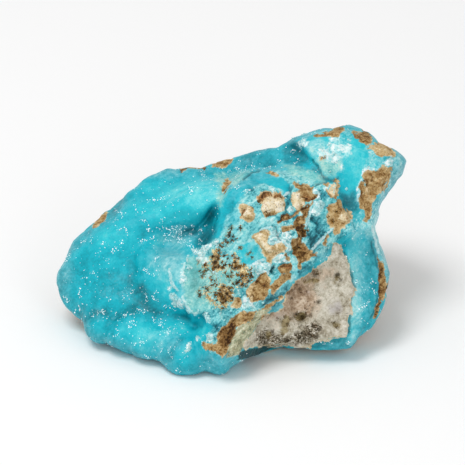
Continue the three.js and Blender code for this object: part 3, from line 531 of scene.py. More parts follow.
# where each kind of ground shows on the display face, as outlines in mm
markings = {}
markings["limonite"] = {  # brown patches
    "hookPlate": [(-2.2, -17.4), (-1.8, -16.2), (-0.6, -15.4), (1, -15), (1.2, -15.8), (0.6, -17.4),
        (0, -18.6), (-0.8, -19), (-1.8, -18.6)],
    "topLine": [(-10, 15.6), (-8.8, 16.2), (-7.6, 16.5), (-5, 16.4), (-5, 18), (-10, 17.6)],
    "triangleFoot": [(19.2, 11.6), (20.2, 11.6), (20.8, 11), (20, 10.6), (19.4, 11)],
    "arrowCrumb": [(10.9, -0.6), (11.3, -0.6), (11.5, -2), (11.1, -2)],
    "vein": [(13.4, 4.2), (13.8, 3.2), (14.2, 2.2), (13.8, 1.6), (13.2, 2), (13.4, 3)],
    "endLeft": [(26.2, 13.8), (26.6, 13.6), (27, 12.8), (27.2, 11.8), (27.6, 10.2), (28, 9.6),
        (28.4, 8.4), (28, 7.2), (27.6, 6.2), (27.2, 5.4), (26.8, 5.8), (27.2, 7), (26.8, 8.2),
        (26.2, 8.6), (25.8, 9.6), (25.8, 10.8), (26, 12), (25.6, 12.6)],
    "crownLeft": [(16.4, 23.2), (18.4, 23.4), (18.8, 24), (20.4, 24.2), (20.6, 24.8), (22.8, 25.2),
        (22.8, 24.4), (22, 23.4), (21.2, 22.4), (20.4, 22.2), (19.8, 22.9), (18.4, 22.8),
        (16.4, 22.8)],
    "crownMiddle": [(24.6, 23.8), (25.4, 23.5), (26.2, 23.4), (26.8, 24.4), (27.8, 23.8),
        (28.6, 22.4), (28.4, 22), (27.8, 21.4), (27.2, 20.8), (26.6, 21.4), (25.8, 22.1),
        (25.2, 22.2), (24.8, 23)],
    "crownRight": [(27.6, 20.2), (28.4, 21), (29.2, 21.5), (30.4, 21.2), (31.6, 20.7), (32.4, 20.2),
        (33, 19), (32.6, 18.7), (31.6, 18.9), (30.2, 18.8), (29.2, 19.2), (28.8, 19.7),
        (28.2, 20.2)],
    "endFace": [(26.6, 14.6), (26.8, 15.4), (27.6, 15.8), (28.4, 15.6), (29.6, 16), (30.2, 16.6),
        (30.8, 17), (31.2, 16.6), (31.6, 15.8), (32, 16.6), (32.5, 16.4), (32.2, 15.4),
        (31.8, 14.4), (31.2, 13.6), (30.8, 12.4), (30, 11.8), (29.4, 10.6), (28.4, 9.8),
        (27.8, 10.2), (27.6, 11.6), (27.4, 12.6), (27, 13.6)],
    "creamKnob": [(5.4, 10.6), (6, 11.2), (6.8, 11.6), (8, 11.6), (8.4, 11), (9, 11.4), (10, 11.2),
        (10.8, 10.2), (11, 9), (10.6, 8), (9.8, 7.6), (9, 7.2), (8, 6.8), (7.2, 6.6), (6.6, 7.4),
        (6.2, 8.4), (6, 9.4), (5.4, 9.6)],
    "leftKnob": [(1.8, 8.8), (2.2, 9.2), (3.2, 9), (4.2, 8.4), (4.8, 7.8), (4.8, 7), (4.6, 6),
        (4, 5.5), (3.4, 5.6), (2.6, 6.4), (2, 6.8), (2.2, 7.4), (1.8, 8.2)],
    "leafBrown": [(12.8, 13.4), (14, 13), (15.2, 13), (16.4, 12.6), (17.2, 12.8), (16.4, 12.2),
        (16.2, 11.4), (17, 10.8), (16.6, 10.2), (15.6, 10), (14.6, 10), (14, 10.8), (14, 12),
        (13.2, 12.4)],
    "leafCream": [(12.2, 10.2), (12.8, 11.4), (13.6, 11.8), (14.2, 11.4), (14.4, 10.2), (14.6, 9.2),
        (14, 8.2), (13.4, 8.2), (12.6, 9)],
    "lowDiagonal": [(9.4, 5.8), (10.2, 6.2), (10.8, 7), (11.4, 7.4), (11.8, 6.8), (12.6, 7.2),
        (13.8, 8.2), (14.6, 8.8), (15.6, 9.2), (14.8, 8.2), (13.4, 7.4), (12.4, 6.4), (11.2, 6),
        (10.4, 5.8), (9.8, 5.2), (9.3, 5.4)],
    "stripe": [(14.4, 7.8), (15.2, 8.4), (16, 9.2), (16.4, 9.8), (15.8, 8.2), (15.4, 6.8),
        (14.8, 5.6), (14, 4.2), (13.6, 3.2), (13, 4.4), (12.2, 3.8), (11.8, 4.2), (12.6, 4.8),
        (13, 6.2), (13.4, 6.6), (14.4, 6.6)],
    "stripeFoot": [(13.6, 4.4), (14.4, 4.6), (14.8, 4), (15.2, 3.8), (15.2, 2.8), (14.4, 2.6),
        (14, 3.4)],
    "crumb": [(10.4, 4.2), (11, 4.6), (11.8, 4.4), (12, 3.6), (11.2, 3.2), (10.4, 3.4)],
    "arrow": [(4.4, 2.8), (5, 3.2), (6, 3.6), (6.8, 4), (7.8, 3.8), (8, 2.8), (7.6, 1.6),
        (8.2, 0.8), (9.2, 1), (10.4, 1.4), (11, 0.8), (11, 0), (9.8, -0.4), (9.2, -0.8),
        (8.4, -1.6), (8, -2.4), (7.4, -2.2), (7, -1.2), (6.4, 0), (5.4, 1.2), (4.6, 2)],
    "middle": [(12.4, 1.4), (12.6, 2.2), (13.2, 2.2), (13.8, 1.8), (14.4, 1.6), (15.2, 0.8),
        (15.8, -0.2), (16.4, -0.4), (17.2, -0.8), (17.4, -1.4), (16, -1.4), (15.2, -2),
        (14.4, -2.4), (14, -3.6), (13.6, -3.6), (13.6, -2.4), (13, -1.6), (12.6, -0.4),
        (12.4, 0.6)],
    "rightBroken": [(19.4, 8.4), (20, 9), (20.8, 9.2), (21.4, 10), (22, 9.6), (22.2, 8.8),
        (22.8, 8.6), (23.4, 7.8), (24.2, 7), (24.4, 6.4), (24, 5.8), (23.2, 5.2), (22.6, 4.4),
        (21.6, 3.8), (21, 3.2), (20.8, 3.8), (21, 4.6), (20.2, 4.6), (19.6, 5.4), (19.2, 6.2),
        (19.4, 7.4)],
    "triangleEdge": [(20.6, 14), (21.2, 14.6), (21.6, 14), (21.5, 12.4), (21.4, 11), (21.2, 10.2),
        (20.8, 10.4), (21, 11.6), (21, 12.8), (21.1, 13.6)],
    "triangleChip": [(18.6, 13), (19, 13.4), (19.6, 13.2), (19.4, 12.4), (18.8, 12.6)],
    "sliver": [(19.4, 3.6), (19.7, 3), (19.4, 2), (19, 0.8), (18.6, 1.2), (19, 2.4)],
    "roundCrumb": [(9.6, -3.6), (10.2, -3.2), (10.8, -2.8), (11.8, -2.8), (12.3, -3.4), (12.2, -4),
        (11.6, -4.6), (10.8, -4.6), (10.2, -4.8), (9.7, -4.4)],
    "lowStrip": [(8, -7.4), (8.8, -6.2), (10.6, -4.7), (12, -4.6), (11.8, -5.6), (10.8, -6),
        (9, -8), (8.6, -9)],
    "olivePlate": [(3.4, -9.4), (3.2, -8), (3.8, -7), (5, -5.8), (6.4, -4.8), (7.4, -4.6),
        (8, -5.8), (7.6, -8), (6.6, -9.6), (4.6, -10.1)],
    "button": [(0.6, -10.6), (0.8, -9.6), (1.4, -9.4), (2, -9.8), (2.1, -10.6), (1.8, -11.4),
        (1, -11.6), (0.4, -11.2)],
    "lowHook": [(-2.6, -17.4), (-2.4, -16.4), (-1.6, -15.8), (-0.6, -14.6), (0.6, -13.4),
        (1.4, -12.8), (2.2, -12.4), (3.6, -12.2), (5.4, -12), (5.2, -12.8), (4.2, -13.6),
        (3.2, -14), (2, -14.6), (1.2, -15.6), (0.6, -17), (0, -18.2), (-0.4, -19.4), (-0.8, -20.6),
        (-1.6, -21.3), (-2.2, -20.6), (-2.8, -20), (-3.8, -20), (-4.8, -19.6), (-5.4, -18.8),
        (-5.2, -18.2), (-4.4, -18.6), (-3.4, -19), (-2.6, -18.8)],
    "seamChip": [(6.2, -13.6), (6.8, -13), (7.3, -12.6), (7.2, -13.2), (6.8, -13.8), (6.6, -14.4),
        (5.6, -15.4), (5.1, -15.8), (5.4, -15.2), (6.2, -14.2)],
    "footChip": [(14.2, -18.4), (15, -18.6), (16, -19), (15.8, -19.4), (14.8, -19.2),
        (14.2, -18.8)],
    "rightSeam": [(29.2, -1), (29.8, -2.4), (30.6, -2.8), (30.8, -4.4), (31, -6), (31.4, -6.8),
        (31.2, -8), (30.8, -9.2), (30.2, -10.8), (29.6, -12), (29, -13.6), (28.3, -13.4),
        (28.8, -12.4), (29.6, -11), (30, -9.6), (29.9, -8), (30, -6), (29.8, -4), (29.5, -2.4)],
    "fieldStreak": [(-1.2, 14), (-0.6, 14.4), (-0.3, 13.2), (-0.8, 12), (-1.2, 11.2), (-1.5, 12)],
    "crestThread": [(7.4, 15.7), (8, 15.8), (9.6, 15), (9, 14.8)],
    "seamThread": [(6.4, -11.6), (7.2, -11), (8, -10.6), (9.4, -9.8), (10.4, -9), (10.6, -9.4),
        (9.6, -10), (8.2, -11), (7.4, -11.4), (6.6, -11.8)],
    "topRim": [(-3.4, 16.8), (-2.8, 18), (-1.6, 19), (0.4, 19.2), (0.4, 18), (-0.2, 17.4),
        (-1, 16.8), (-2.4, 16.6)],
    "leftRim": [(-27.6, 4.4), (-27, 6.4), (-25.6, 7.8), (-24.6, 7.6), (-25.4, 6.2), (-26.4, 5.2),
        (-27, 4.2)],
}
markings["cream"] = {  # pale faces of the brown patches
    "brokenFace": [(22, 7.4), (22.8, 8), (23.6, 7.4), (24.2, 6.6), (23.4, 5.6), (22.4, 5.8),
        (21.6, 6.4)],
    "leftKnobFace": [(2.6, 7.2), (3.4, 8.2), (4.4, 8.2), (4.6, 7.4), (4, 7), (3.2, 6.8)],
    "arrowTail": [(8, -0.8), (8.8, 0), (9.8, -0.2), (9.2, -1), (8.4, -1.4)],
    "knobFace": [(6.2, 9.4), (7.2, 10.2), (8.4, 10.4), (9.6, 10.2), (10.8, 9.8), (11, 8.8),
        (10.4, 8), (9.2, 8), (8.2, 7.8), (7.6, 7), (6.8, 7.2), (6.2, 8.2)],
    "leafFace": [(12.2, 10.2), (12.8, 11.4), (13.6, 11.8), (14.2, 11.2), (14.4, 10.2), (14.6, 9.2),
        (14, 8.2), (13.4, 8.2), (12.6, 9)],
    "triangleFace": [(19.4, 12.2), (20, 13.2), (20.6, 14), (21, 13.4), (21, 11.8), (20.4, 11.2),
        (19.6, 11.6)],
    "arrowFace": [(5, 2.4), (6, 3.2), (7.2, 3), (8, 2.4), (7.6, 1.2), (8.4, 0.8), (8, 0), (7.2, 0),
        (6, 1.2)],
    "plateRim": [(3.4, -8), (3.8, -6.8), (4.6, -6), (4.6, -7.2), (4.4, -8.4), (4.6, -9.8),
        (4, -9.6), (3.4, -8.8)],
}
markings["spotted"] = {  # ground with brown specks
    "ridgeEnd": [(-6.2, -4.4), (-4, -3.2), (-3.8, -1.2), (-2.6, 0.2), (0, -0.8), (1.6, -0.8),
        (2, -2.6), (5, -4), (4.8, -5.8), (3.2, -6.8), (1.6, -6.6), (0.4, -8), (0.8, -9.8),
        (-1.2, -11.6), (-4.2, -9.6), (-5.4, -8.4), (-6.2, -9.2), (-6.2, -7.2), (-4.6, -6),
        (-4.2, -4.8)],
    "specks": [(-1.8, 0.8), (-1.2, 2.4), (-0.4, 4.6), (0.8, 4.8), (1.2, 2.4), (0.4, 1.2),
        (-0.8, 0.4)],
}
markings["rock"] = {  # the bare rock
    "face": [(20.6, 1.4), (21.2, 1.6), (22, 1.4), (22.4, 0.8), (22.8, -0.4), (23.4, -1.4),
        (23.8, -3), (24, -5), (24.6, -6.2), (25.4, -7.6), (25, -8.8), (24.2, -9.4), (24, -10.6),
        (24.4, -11.6), (24.4, -12.6), (23.8, -13.2), (23.6, -14.4), (23.8, -15.8), (23.4, -16.4),
        (22.8, -17.4), (20, -17.7), (19, -18.1), (17.6, -18.4), (16.2, -18.7), (15.8, -19.4),
        (13.4, -19.6), (12, -19.3), (8.2, -19.4), (5, -19.3), (3.6, -19.5), (2.2, -19.8),
        (2.6, -18.4), (3.8, -17.2), (4.8, -16), (5.6, -15), (6.4, -14), (7.2, -12.8), (8, -12.3),
        (9.4, -12.2), (10.4, -11.6), (10.6, -10.2), (11, -9), (11.8, -7.6), (12.6, -6.2),
        (14, -5.6), (15.6, -4.6), (16.6, -3.6), (18, -2.6), (19.6, -1.6), (20.2, -0.4)],
}
markings["white"] = {  # white crystals
    "creamCorner": [(-6.8, -1.4), (-5, -1.2), (-4, -1.8), (-4.8, -2.6), (-6.2, -2.6)],
    "headChip": [(22, 17.6), (22.4, 17.2), (22.4, 16.2), (22, 15.8)],
    "lowBit": [(-7, -17.2), (-6.4, -17), (-5.8, -17.8), (-6.4, -18.2)],
    "triangleSide": [(18.4, 12.4), (19.2, 12.4), (19.6, 11.8), (19, 11.4), (18.4, 11.8)],
    "stripeGap": [(13.8, 7.6), (14.6, 8), (14.4, 7), (13.8, 6.6)],
    "stripeSide": [(15.6, 7.6), (16, 7.2), (15.6, 6), (15, 4.8), (14.8, 5.2), (15.4, 6.4)],
    "endGap": [(27, 13.2), (27.4, 12.4), (27.6, 10.6), (27.4, 10.6), (27.2, 11.8)],
    "endLeftSide": [(25.2, 12.8), (25.6, 12.8), (25.8, 11.6), (25.7, 10.2), (26, 9), (25.6, 9.2),
        (25.3, 10.6)],
    "headMiddle": [(19.6, 21.6), (20.6, 21.2), (22, 21), (22.8, 20.6), (23, 19.4), (22, 19),
        (21.2, 19.8), (20, 20.2), (19.4, 20.8)],
    "fringeLip": [(-8.6, -11.8), (-7.8, -12.2), (-7, -12.4), (-6.2, -12), (-6, -12.4), (-7, -12.8),
        (-8.2, -12.6)],
    "innerLine": [(-8.6, -1.2), (-8.2, -1.2), (-8.1, -2.6), (-7.8, -3.4), (-8.2, -4.4),
        (-8.5, -3.6), (-8.4, -2.4)],
    "fringeFoot": [(-12.4, -6.8), (-12, -7), (-11.9, -8.2), (-12.2, -8.2)],
    "fringeLine": [(-12.1, -4.4), (-11.8, -5.4), (-11.2, -6.6), (-10.4, -7.6), (-10.6, -8),
        (-11.6, -7), (-12, -6)],
    "pocketRim": [(-7.6, 0.2), (-6, 0.2), (-4.8, 0.8), (-3.8, 1.4), (-2.4, 2), (-2, 1.4),
        (-3.2, 0.6), (-4, -0.2), (-4.6, -1.2), (-6, -1.2), (-6.8, -1), (-7.2, -0.4)],
    "bossFringe": [(-12, -8.8), (-11.4, -8.3), (-10.8, -8.8), (-10.2, -9.4), (-9.6, -9.8),
        (-9.2, -10.4), (-9.2, -11.2), (-10, -11.3), (-10.8, -10.8), (-11.2, -10.2), (-11.8, -9.6)],
    "innerFringe": [(-9.6, -4.6), (-9, -4.6), (-8.6, -5.6), (-9, -6.6), (-9.4, -7.4), (-9.8, -6.2)],
    "palePlate": [(4.6, -2.8), (6.4, -2.4), (8, -2.8), (8.2, -4), (7.6, -4.6), (6.4, -4.4),
        (5.4, -5), (4.4, -4)],
    "arrowSide": [(8, 3.6), (8.8, 4), (9.4, 3), (9.6, 1.8), (9.2, 1), (8.2, 0.8), (7.8, 1.8),
        (8.2, 2.6)],
    "arrowFoot": [(8.4, -1.8), (9.2, -1), (10.6, -0.4), (11.6, -0.8), (11.6, -2.4), (10.4, -2.8),
        (9.2, -2.6)],
    "between": [(10, 3.4), (10.8, 3), (12, 3.4), (12.4, 2.8), (12.2, 0.8), (11.6, -1), (11.2, 0),
        (11.2, 0.8), (10.4, 1.6), (9.6, 1.6)],
    "headFlower": [(17.8, 20), (18.8, 20), (19.8, 19.8), (20.8, 19.6), (21.6, 19), (21.6, 18.2),
        (21.2, 17.4), (20.6, 17.2), (20, 17.8), (19.2, 18.2), (18, 18.4), (17.6, 19)],
    "headBlock": [(22.8, 21), (23.8, 21.2), (24.4, 20.8), (24.4, 19), (23.8, 18.9), (23.4, 19.6),
        (23, 20.2)],
    "headCorner": [(13.6, 21.8), (14.8, 22), (15.8, 21.6), (15.6, 20.8), (14.4, 20.6),
        (13.4, 20.8)],
    "headTop": [(20.8, 23.4), (21.8, 23.2), (22, 22.4), (21.2, 21.6), (20.2, 21.6), (20, 22),
        (20.8, 22.4)],
    "endFaceTop": [(26, 14.4), (26.4, 15.4), (26.6, 16), (27.2, 16.6), (28.2, 16.4), (29.2, 16.2),
        (30.2, 16.4), (30, 15.9), (28.8, 15.6), (27.4, 15.7), (26.8, 15.2)],
    "endRim": [(30.8, 17.6), (31.2, 18.2), (32.2, 18.6), (32.8, 18), (32.6, 16.8), (32, 17),
        (31.4, 16.8)],
    "leafSide": [(16.4, 12), (17.2, 12.2), (17.6, 11.6), (17.4, 10.4), (17, 10), (16.6, 10.8)],
    "upperRight": [(16.6, 9.4), (17.6, 10), (18.8, 9.4), (18.6, 8.4), (17.6, 7), (16.6, 7),
        (16, 8)],
    "underKnob": [(11.2, 8.4), (12.2, 8.8), (12.6, 8), (11.8, 7.4), (11.2, 7.8)],
    "knobCrown": [(7.4, 12), (8, 12.6), (8.8, 12), (8.4, 11.6)],
    "lowStreak": [(-8.6, -18.6), (-8, -18.2), (-8.2, -20), (-8.8, -20.4)],
    "lowPatch": [(-4.8, -16.8), (-3.8, -16.4), (-3.2, -17.2), (-3.6, -18.2), (-4.6, -18)],
    "underFringe": [(-5.2, -12.4), (-4.6, -12.4), (-3.8, -13.6), (-3.6, -14.6), (-4.4, -14.4),
        (-5, -13.6)],
    "underPlate": [(2.2, -9.2), (3.2, -9), (4.8, -10), (4.8, -11.2), (3.2, -11.6), (2.2, -10.6)],
}
markings["sage"] = {  # grey-green face in the seam
    "seamFace": [(-0.6, -20), (-0.2, -18.6), (0.8, -16.6), (1.6, -15.2), (2.6, -14.4), (4, -13.8),
        (4.8, -13), (5.6, -12), (6.4, -11.6), (7.4, -11.2), (8, -11.6), (7.2, -12.6), (6.4, -13.8),
        (5.4, -15.2), (4.4, -16.6), (3.4, -18), (2.4, -19.4), (1.6, -20.6), (0.4, -21.2),
        (-0.8, -21.2)],
}
markings["amber"] = {  # honey-coloured crystals
    "smallLeft": [(-5.4, -3.2), (-4.8, -2.4), (-4.4, -2.8), (-5, -3.4)],
    "yellowEdge": [(-5.4, -8.2), (-4.6, -8.2), (-3.8, -9.2), (-3.2, -10), (-2.6, -10.8),
        (-1.8, -11.2), (-2.4, -11.4), (-3.4, -10.8), (-4.4, -9.8), (-5, -9)],
    "clusterLow": [(-2.6, -8), (-2, -6.8), (-1.2, -6.6), (-0.6, -7.2), (0.2, -7.4), (0.4, -8.4),
        (0.6, -9.8), (-0.4, -10.4), (-1, -11.4), (-1.8, -11.6), (-1.8, -10.4), (-2.6, -9.6)],
    "clusterRight": [(0.2, -1), (1, -0.6), (1.8, -1.4), (1.6, -2.4), (2.2, -2.8), (3.4, -3.6),
        (3.6, -4.6), (3.4, -6.2), (2.6, -7.2), (1.4, -7.4), (2, -6.4), (2.2, -5.4), (1.8, -4),
        (0.8, -4), (-0.2, -3.2), (0, -2.6), (0.8, -2.2)],
    "clusterLeft": [(-3.8, -1.4), (-3, -0.2), (-2.4, 0), (-2, -0.8), (-2.2, -2.4), (-1.6, -3.2),
        (-1, -2.6), (-0.6, -3.2), (-1.4, -4), (-3.2, -4), (-3.8, -3.2)],
}
markings["green"] = {  # pale green ground
    "spotGround": [(-6.2, -1.4), (-3.8, -1.4), (-3.2, -2.4), (-0.8, -3), (1.4, -3.6), (2.2, -5),
        (1.2, -6.8), (0.2, -8.4), (0.6, -10), (-1.6, -11.8), (-4, -10.8), (-5.4, -9.2),
        (-6.2, -7.6), (-6, -5.6), (-6.6, -3.6)],
    "fringeShade": [(-8.4, -1.4), (-6.8, -1.2), (-5.4, -2.4), (-5.2, -5), (-4.8, -8), (-3.4, -10.4),
        (-4.8, -12.2), (-6.8, -12.6), (-8.2, -11.6), (-9, -9.8), (-9.2, -7.2), (-9, -4)],
    "leaf": [(10.8, 17.2), (13.4, 16.8), (15.2, 16.2), (16.8, 16), (18, 15.2), (19.2, 13.8),
        (17.6, 13.4), (15.6, 14), (13.6, 14.8), (11.6, 15.6)],
    "streakGlow": [(-3.4, 15.6), (-1.2, 15.2), (-0.4, 14), (-0.8, 11.6), (-1.6, 9.2), (-2.2, 8.8),
        (-2.6, 10.4), (-2, 12.8), (-2.8, 14)],
    "topGrey": [(-0.4, 14.8), (2, 15.6), (4, 15.8), (2.4, 14), (0.8, 12.6), (0, 13.2)],
    "headSide": [(16.2, 20), (17.6, 18.4), (18, 16.4), (19.2, 14.4), (20.8, 14.8), (22.2, 16.4),
        (22, 18), (20, 17.2), (18, 18)],
}
# painted shade: this ground is carved lower, and its dark teal is shade laid into the colour of
# gorges, pockets and the undersides of overhangs
markings["deep"] = {  # dark teal ground that lies lower
    "knobRight": [(11, 12.6), (11.6, 12), (12.2, 10.6), (12, 9.2), (11.6, 9.4), (11.4, 10.8)],
    "lowGorge": [(-4.6, -15), (-3.4, -14.2), (-2, -14.2), (-1.2, -15), (-2, -16.2), (-3.2, -16.6),
        (-4.4, -16.2)],
    "seamGap": [(3.4, -13.6), (4.8, -13), (4.8, -14.4), (3.8, -14.8)],
    "pocketWall": [(-4, 8.4), (-2.6, 8.8), (-1.8, 7.6), (-2.6, 4.8), (-3.4, 2), (-4.8, 0.8),
        (-6.4, 0.4), (-7.6, 1.4), (-6.4, 2.8), (-5.2, 4.2), (-4.6, 6)],
    "headBand": [(13.2, 22.2), (14.6, 20.6), (16, 18.4), (17.6, 16.4), (18.8, 14.8), (20.2, 14),
        (21.8, 14.4), (21.2, 13.4), (18.4, 13.6), (17, 15.6), (14, 16), (11, 17.4), (10.6, 20),
        (12, 21.4)],
    "rightGorge": [(15.8, 6.6), (16.8, 6.8), (17.8, 6.4), (18.6, 5), (18.8, 3.4), (18.4, 1.8),
        (17.8, 0.2), (17, -0.4), (16.2, 0), (15.6, 1.2), (15.8, 2.4), (16.6, 3.2), (17.2, 4.8),
        (16, 5.8)],
    "upperGorge": [(17.6, 12), (18.6, 11.8), (19.2, 10.8), (18.8, 9.4), (18, 9.8), (17.4, 10.8)],
    "underHead": [(21.6, 12.8), (22.2, 11.4), (23.4, 10.8), (25.2, 12.4), (25.4, 10), (26, 8.4),
        (25, 7.4), (23.6, 7.4), (22.4, 8.8), (21.8, 10.4)],
    "leafGorge": [(11.6, 13.6), (12.4, 12.8), (12, 10), (12.2, 8.4), (11.4, 8.8), (11.2, 11.2)],
    "underMiddle": [(14.2, -3), (15.2, -2.4), (16.2, -2.8), (16.8, -3.6), (15.6, -4.2),
        (14.8, -4.8), (13.6, -5.6), (13.8, -4)],
    "underFringe": [(-9.2, -11.6), (-8, -12.8), (-7, -13.2), (-5.8, -12.6), (-5, -13.4),
        (-4.6, -14.6), (-5.4, -15.6), (-6.8, -16), (-8.4, -15.2), (-9.6, -13.6)],
    "seamStrip": [(6.4, -10), (8.4, -8.4), (10.4, -7.2), (11.6, -6.2), (12, -7.8), (10.8, -9.6),
        (9.2, -11.8), (7.6, -12.2), (8.4, -10.6)],
}
# painted shadow: the nearly black teal on the chunk under the rock and in a narrow slit is shade
# laid into the colour
markings["ink"] = {  # nearly black ground
    "lowChunk": [(1.6, -20.2), (3.2, -19.7), (4.4, -19.6), (5.6, -19.3), (6.4, -19), (8.8, -18.9),
        (9, -20), (6.8, -20.6), (5.8, -21.6), (4, -22), (1.6, -21.8)],
    "slit": [(8.2, -2.9), (8.8, -2.8), (8.8, -4), (8.3, -4.2)],
}
markings["clear"] = {  # ground without chips
    "fringeBand": [(-14, 1.2), (-8, 0.8), (-6, -0.4), (-5.8, -1.6), (-6.4, -3.6), (-6.2, -6.8),
        (-5.4, -10), (-4, -11.2), (-5.6, -12.4), (-8.8, -12.4), (-12, -10.8), (-14, -8)],
    "headLeft": [(13.6, 21.4), (14.8, 22.4), (17.2, 22.8), (19.4, 22.4), (19.2, 20.6), (17.6, 19.8),
        (17.2, 18), (16, 18.8), (14.6, 20.2)],
    "leafTop": [(11.6, 16.8), (13.4, 16.6), (15.2, 16), (16.8, 15.8), (18, 15), (18.8, 13.8),
        (17.6, 13.6), (15.6, 14.4), (13.6, 15.2)],
    "wing": [(-0.8, 11.6), (0.8, 12.4), (3.2, 12), (2, 10), (0.4, 8), (-0.8, 6.4), (-1.2, 4),
        (-2.2, 2.4), (-3.6, 2.2), (-3.2, 4.4), (-2.2, 7.6), (-1.4, 10)],
    "crest": [(1.2, 12.8), (3, 14.8), (5.2, 15.8), (7.6, 15.6), (10.4, 14.4), (11.8, 13.2),
        (11.2, 10.6), (10, 12), (6.4, 13.2), (4, 12.4), (2.4, 11.6)],
    "headFace": [(24.6, 22.4), (26.6, 20.8), (27.6, 18.4), (26.2, 15.6), (25.6, 12.8), (24, 12),
        (22.6, 13.6), (22.6, 17.6), (24.6, 18.8)],
    "blueHollow": [(2, 0.8), (4.4, 1.6), (6.8, -1.6), (6.4, -2.4), (4, -3.2), (2, -2.4),
        (1.2, -0.4)],
}
markings["rusty"] = {  # rusty edges and spots of the brown patches
    "brokenSpot": [(23.1, 7), (23.8, 7), (23.8, 6.2), (23.2, 6.2)],
    "knobTop": [(5.4, 10.6), (6.2, 11), (6.8, 11.6), (8, 11.6), (8.2, 10.8), (7.6, 10.4),
        (6.8, 10.2), (6.2, 9.8), (5.6, 9.6)],
    "knobTopRight": [(8.6, 10.2), (9, 11.2), (10, 11.2), (10.8, 10.4), (10.8, 10), (9.6, 10.2),
        (9.2, 10)],
    "headSpot": [(17.8, 18.6), (19.2, 18.6), (19.2, 17.8), (18, 17.8)],
    "leftKnobRim": [(2, 6.8), (2.2, 7.6), (2.8, 8), (3, 7.6), (2.6, 7), (2.2, 6.6)],
    "leafEdge": [(14.6, 10.8), (15.8, 10.6), (16.8, 10.6), (16.4, 10.2), (15, 10.2)],
    "middleEnd": [(16.4, -0.6), (17.4, -0.6), (17.4, -1.6), (16.6, -1.4)],
    "crumbTop": [(10, -3.4), (10.8, -2.8), (12, -3), (12.2, -3.8), (11, -3.8)],
    "hookSpot": [(2.6, -13.6), (3.4, -13.6), (3.4, -14.1), (2.6, -14)],
    "seamSpot": [(6.2, -13.6), (7, -12.8), (7.3, -13), (6.8, -13.8), (6.4, -14.2)],
    "knobLow": [(6.8, 6.8), (7.6, 7.2), (8.4, 7.4), (8, 6.8), (7.2, 6.6)],
    "footTip": [(14.2, -18.4), (15, -18.6), (16, -19), (15.8, -19.4), (14.8, -19.2), (14.2, -18.8)],
}
markings["olive"] = {  # olive patches on the rock
    "leftOne": [(7.2, -16.2), (8, -16), (8.4, -16.8), (8, -17.6), (7.2, -17.2)],
    "pitRim": [(12.8, -13.2), (14, -12.4), (15.2, -13.2), (15, -14), (13.6, -14.2)],
    "upperStreak": [(14.4, -6.2), (15.6, -5.6), (17, -5.6), (17.8, -6), (17.6, -6.6), (16, -6.4),
        (14.8, -6.6)],
    "olivePlate": [(10, -13.8), (10.8, -13), (11.6, -13.2), (12, -13.8), (11.6, -15.2),
        (11.4, -16.2), (10.2, -17), (9.6, -16.4), (10, -15.2)],
    "smallOne": [(21.4, -4.8), (22, -4.8), (22.2, -5.6), (21.6, -6.2), (20.6, -6.6), (20.8, -6.2),
        (21.2, -5.8)],
    "smallTwo": [(20.2, -14.2), (21, -14.2), (21.8, -14.8), (21.6, -15.8), (20.6, -15.4),
        (20.2, -14.8)],
    "topChip": [(16.6, -4), (17.4, -4.2), (17.8, -4.8), (17.2, -5)],
}
markings["mottle"] = {  # the mottled foot of the rock
    "leftMottle": [(5.6, -16.2), (7.4, -15.4), (9, -16.8), (11.6, -17.6), (13.6, -18.2),
        (10, -19.2), (6.4, -19.2), (4.8, -18)],
    "lowMottle": [(13.2, -16.4), (15.2, -14.8), (17.6, -14), (18, -16.4), (17.2, -18), (14, -18.8),
        (11.6, -18)],
    "middleMottle": [(13.2, -12.4), (14.8, -12.2), (15.6, -13.6), (14, -14.4), (12.8, -13.8)],
}

